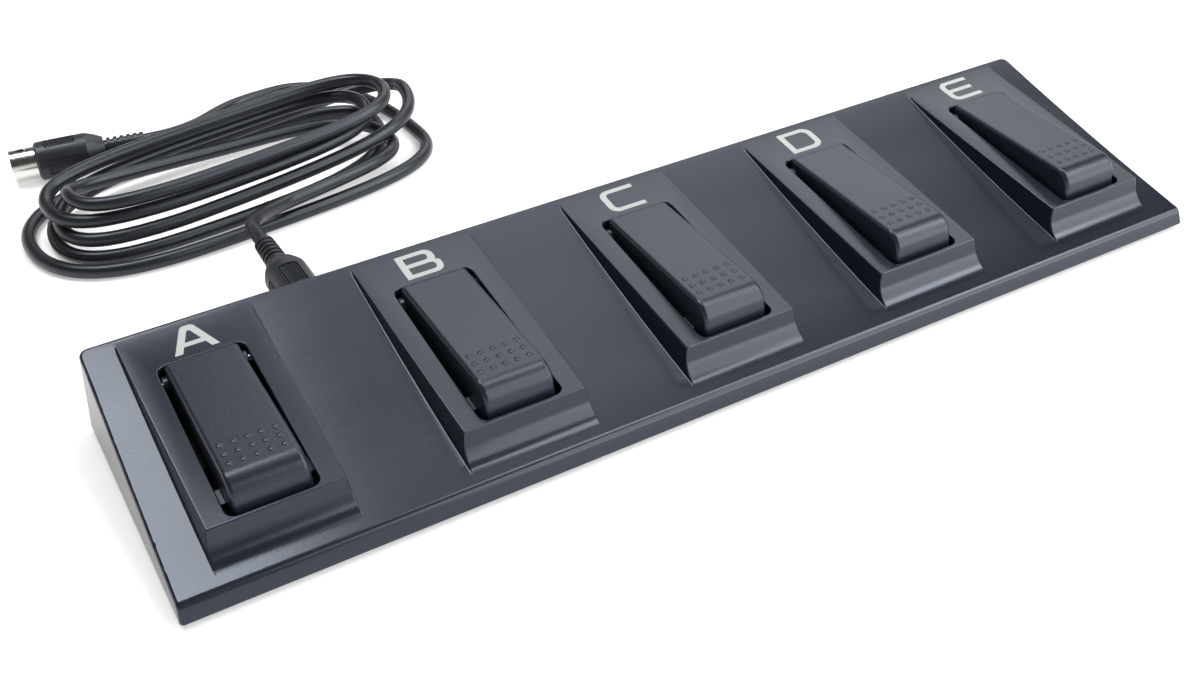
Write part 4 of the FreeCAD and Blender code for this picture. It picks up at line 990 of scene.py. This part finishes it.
def floor_material(colour, glow_near):
    """Matt floor that takes shadows and gives off more light of its own further out."""
    material = bpy.data.materials.new("Studio Floor")
    material.use_nodes = True
    tree = material.node_tree
    shader = tree.nodes["Principled BSDF"]
    shader.inputs["Base Color"].default_value = (*colour, 1.0)
    shader.inputs["Roughness"].default_value = 0.9
    shader.inputs["Specular IOR Level"].default_value = 0.0
    glow = tree.nodes.new("ShaderNodeEmission")
    coords = tree.nodes.new("ShaderNodeTexCoord")
    reach = tree.nodes.new("ShaderNodeVectorMath")
    reach.operation = "LENGTH"
    tree.links.new(coords.outputs["Object"], reach.inputs[0])
    fade = tree.nodes.new("ShaderNodeMapRange")
    fade.inputs["From Min"].default_value = GLOW_NEAR
    fade.inputs["From Max"].default_value = GLOW_FAR
    fade.inputs["To Min"].default_value = glow_near
    fade.inputs["To Max"].default_value = 1.0
    tree.links.new(reach.outputs["Value"], fade.inputs["Value"])
    tree.links.new(fade.outputs["Result"], glow.inputs["Strength"])
    both = tree.nodes.new("ShaderNodeAddShader")
    tree.links.new(shader.outputs[0], both.inputs[0])
    tree.links.new(glow.outputs[0], both.inputs[1])
    mix = background_share(tree, shader, both)
    tree.links.new(mix.outputs[0], tree.nodes["Material Output"].inputs["Surface"])
    return material


def studio_sky(strength, ceiling):
    """A world that is white near the horizon and dark overhead."""
    world = bpy.data.worlds.new("Studio")
    world.use_nodes = True
    tree = world.node_tree
    sky = tree.nodes["Background"]
    sky.inputs["Strength"].default_value = strength
    coords = tree.nodes.new("ShaderNodeTexCoord")
    parts = tree.nodes.new("ShaderNodeSeparateXYZ")
    fade = tree.nodes.new("ShaderNodeValToRGB")
    tree.links.new(coords.outputs["Generated"], parts.inputs[0])
    tree.links.new(parts.outputs["Z"], fade.inputs["Fac"])
    tree.links.new(fade.outputs["Color"], sky.inputs["Color"])
    fade.color_ramp.interpolation = "EASE"
    low, high = fade.color_ramp.elements
    low.position, high.position = SKY_TONES
    low.color = (1.0, 1.0, 1.0, 1.0)
    high.color = (ceiling, ceiling, ceiling, 1.0)
    return world


class FOOTCONTROLLER_OT_stage(bpy.types.Operator):
    """Sets the camera, the pale floor, the white background and the soft studio light"""

    bl_idname = "footcontroller.stage"
    bl_label = "Stage"

    def execute(self, context):
        s = settings("stage")
        scene = context.scene
        scene.camera = photo_camera()
        mesh = bpy.data.meshes.new("floor")
        corners = [(x * FLOOR_HALF, y * FLOOR_HALF, 0) for x, y in ((-1, -1), (1, -1), (1, 1), (-1, 1))]
        mesh.from_pydata(corners, [], [(0, 1, 2, 3)])
        floor = new_object("floor", mesh)
        mesh.materials.append(floor_material(s.floor, s.glow))
        scene.world = studio_sky(s.sky, s.ceiling)
        for name, power, size, place, aim, spin in LIGHTS:
            area_light(name, size, place, aim, getattr(s, power), spin)
        scene.view_settings.view_transform = "Standard"
        return {"FINISHED"}


class FOOTCONTROLLER_PT_panel(bpy.types.Panel):
    bl_label = "Foot controller"
    bl_idname = "FOOTCONTROLLER_PT_panel"
    bl_space_type = "VIEW_3D"
    bl_region_type = "UI"
    bl_category = "Foot controller"

    def draw(self, context):
        for group, names, operators in PANEL_ROWS:
            box = self.layout.box()
            for name in names:
                box.prop(settings(group), name)
            for operator in operators:
                box.operator(operator)


PANEL_ROWS = [
    ("cord", ("diameter", "length", "colour"), ("footcontroller.cord",)),
    ("plastic", ("colour", "roughness", "edge", "grain", "depth"),
     ("footcontroller.housing", "footcontroller.pedals")),
    ("dots", ("columns", "rows", "column_pitch", "row_pitch", "middle", "radius", "height", "sink"), ()),
    ("letters", ("left", "front", "thickness", "colour"), ("footcontroller.letters",)),
    ("plugs", ("pad_length", "pad_sweep", "grip_radius", "ribs", "rib_radius", "knurl_rows",
               "knurl_columns", "point_radius", "point_height"), ("footcontroller.plugs",)),
    ("works", ("spring_turns", "wire", "head_radius", "head_height"), ("footcontroller.inside",)),
    ("stage", ("floor", "glow", "back", "left", "front", "top", "sky", "ceiling"),
     ("footcontroller.stage",)),
]

GROUPS = {
    "cord": CordSettings, "plastic": PlasticSettings, "dots": DotSettings, "letters": LetterSettings,
    "plugs": PlugSettings, "works": WorksSettings, "stage": StageSettings,
}

CLASSES = (
    *GROUPS.values(), FOOTCONTROLLER_OT_cord, FOOTCONTROLLER_OT_housing, FOOTCONTROLLER_OT_pedals,
    FOOTCONTROLLER_OT_letters, FOOTCONTROLLER_OT_plugs, FOOTCONTROLLER_OT_inside, FOOTCONTROLLER_OT_stage,
    FOOTCONTROLLER_PT_panel,
)


def register():
    for cls in CLASSES:
        bpy.utils.register_class(cls)
    for name, group in GROUPS.items():
        setattr(bpy.types.Scene, "foot_controller_" + name, bpy.props.PointerProperty(type=group))


def unregister():
    for name in GROUPS:
        delattr(bpy.types.Scene, "foot_controller_" + name)
    for cls in reversed(CLASSES):
        bpy.utils.unregister_class(cls)


def main():
    register()
    bpy.ops.footcontroller.stage()
    bpy.ops.footcontroller.cord()
    bpy.ops.footcontroller.housing()
    bpy.ops.footcontroller.pedals()
    bpy.ops.footcontroller.letters()
    bpy.ops.footcontroller.plugs()
    bpy.ops.footcontroller.inside()


if __name__ == "__main__":
    main()
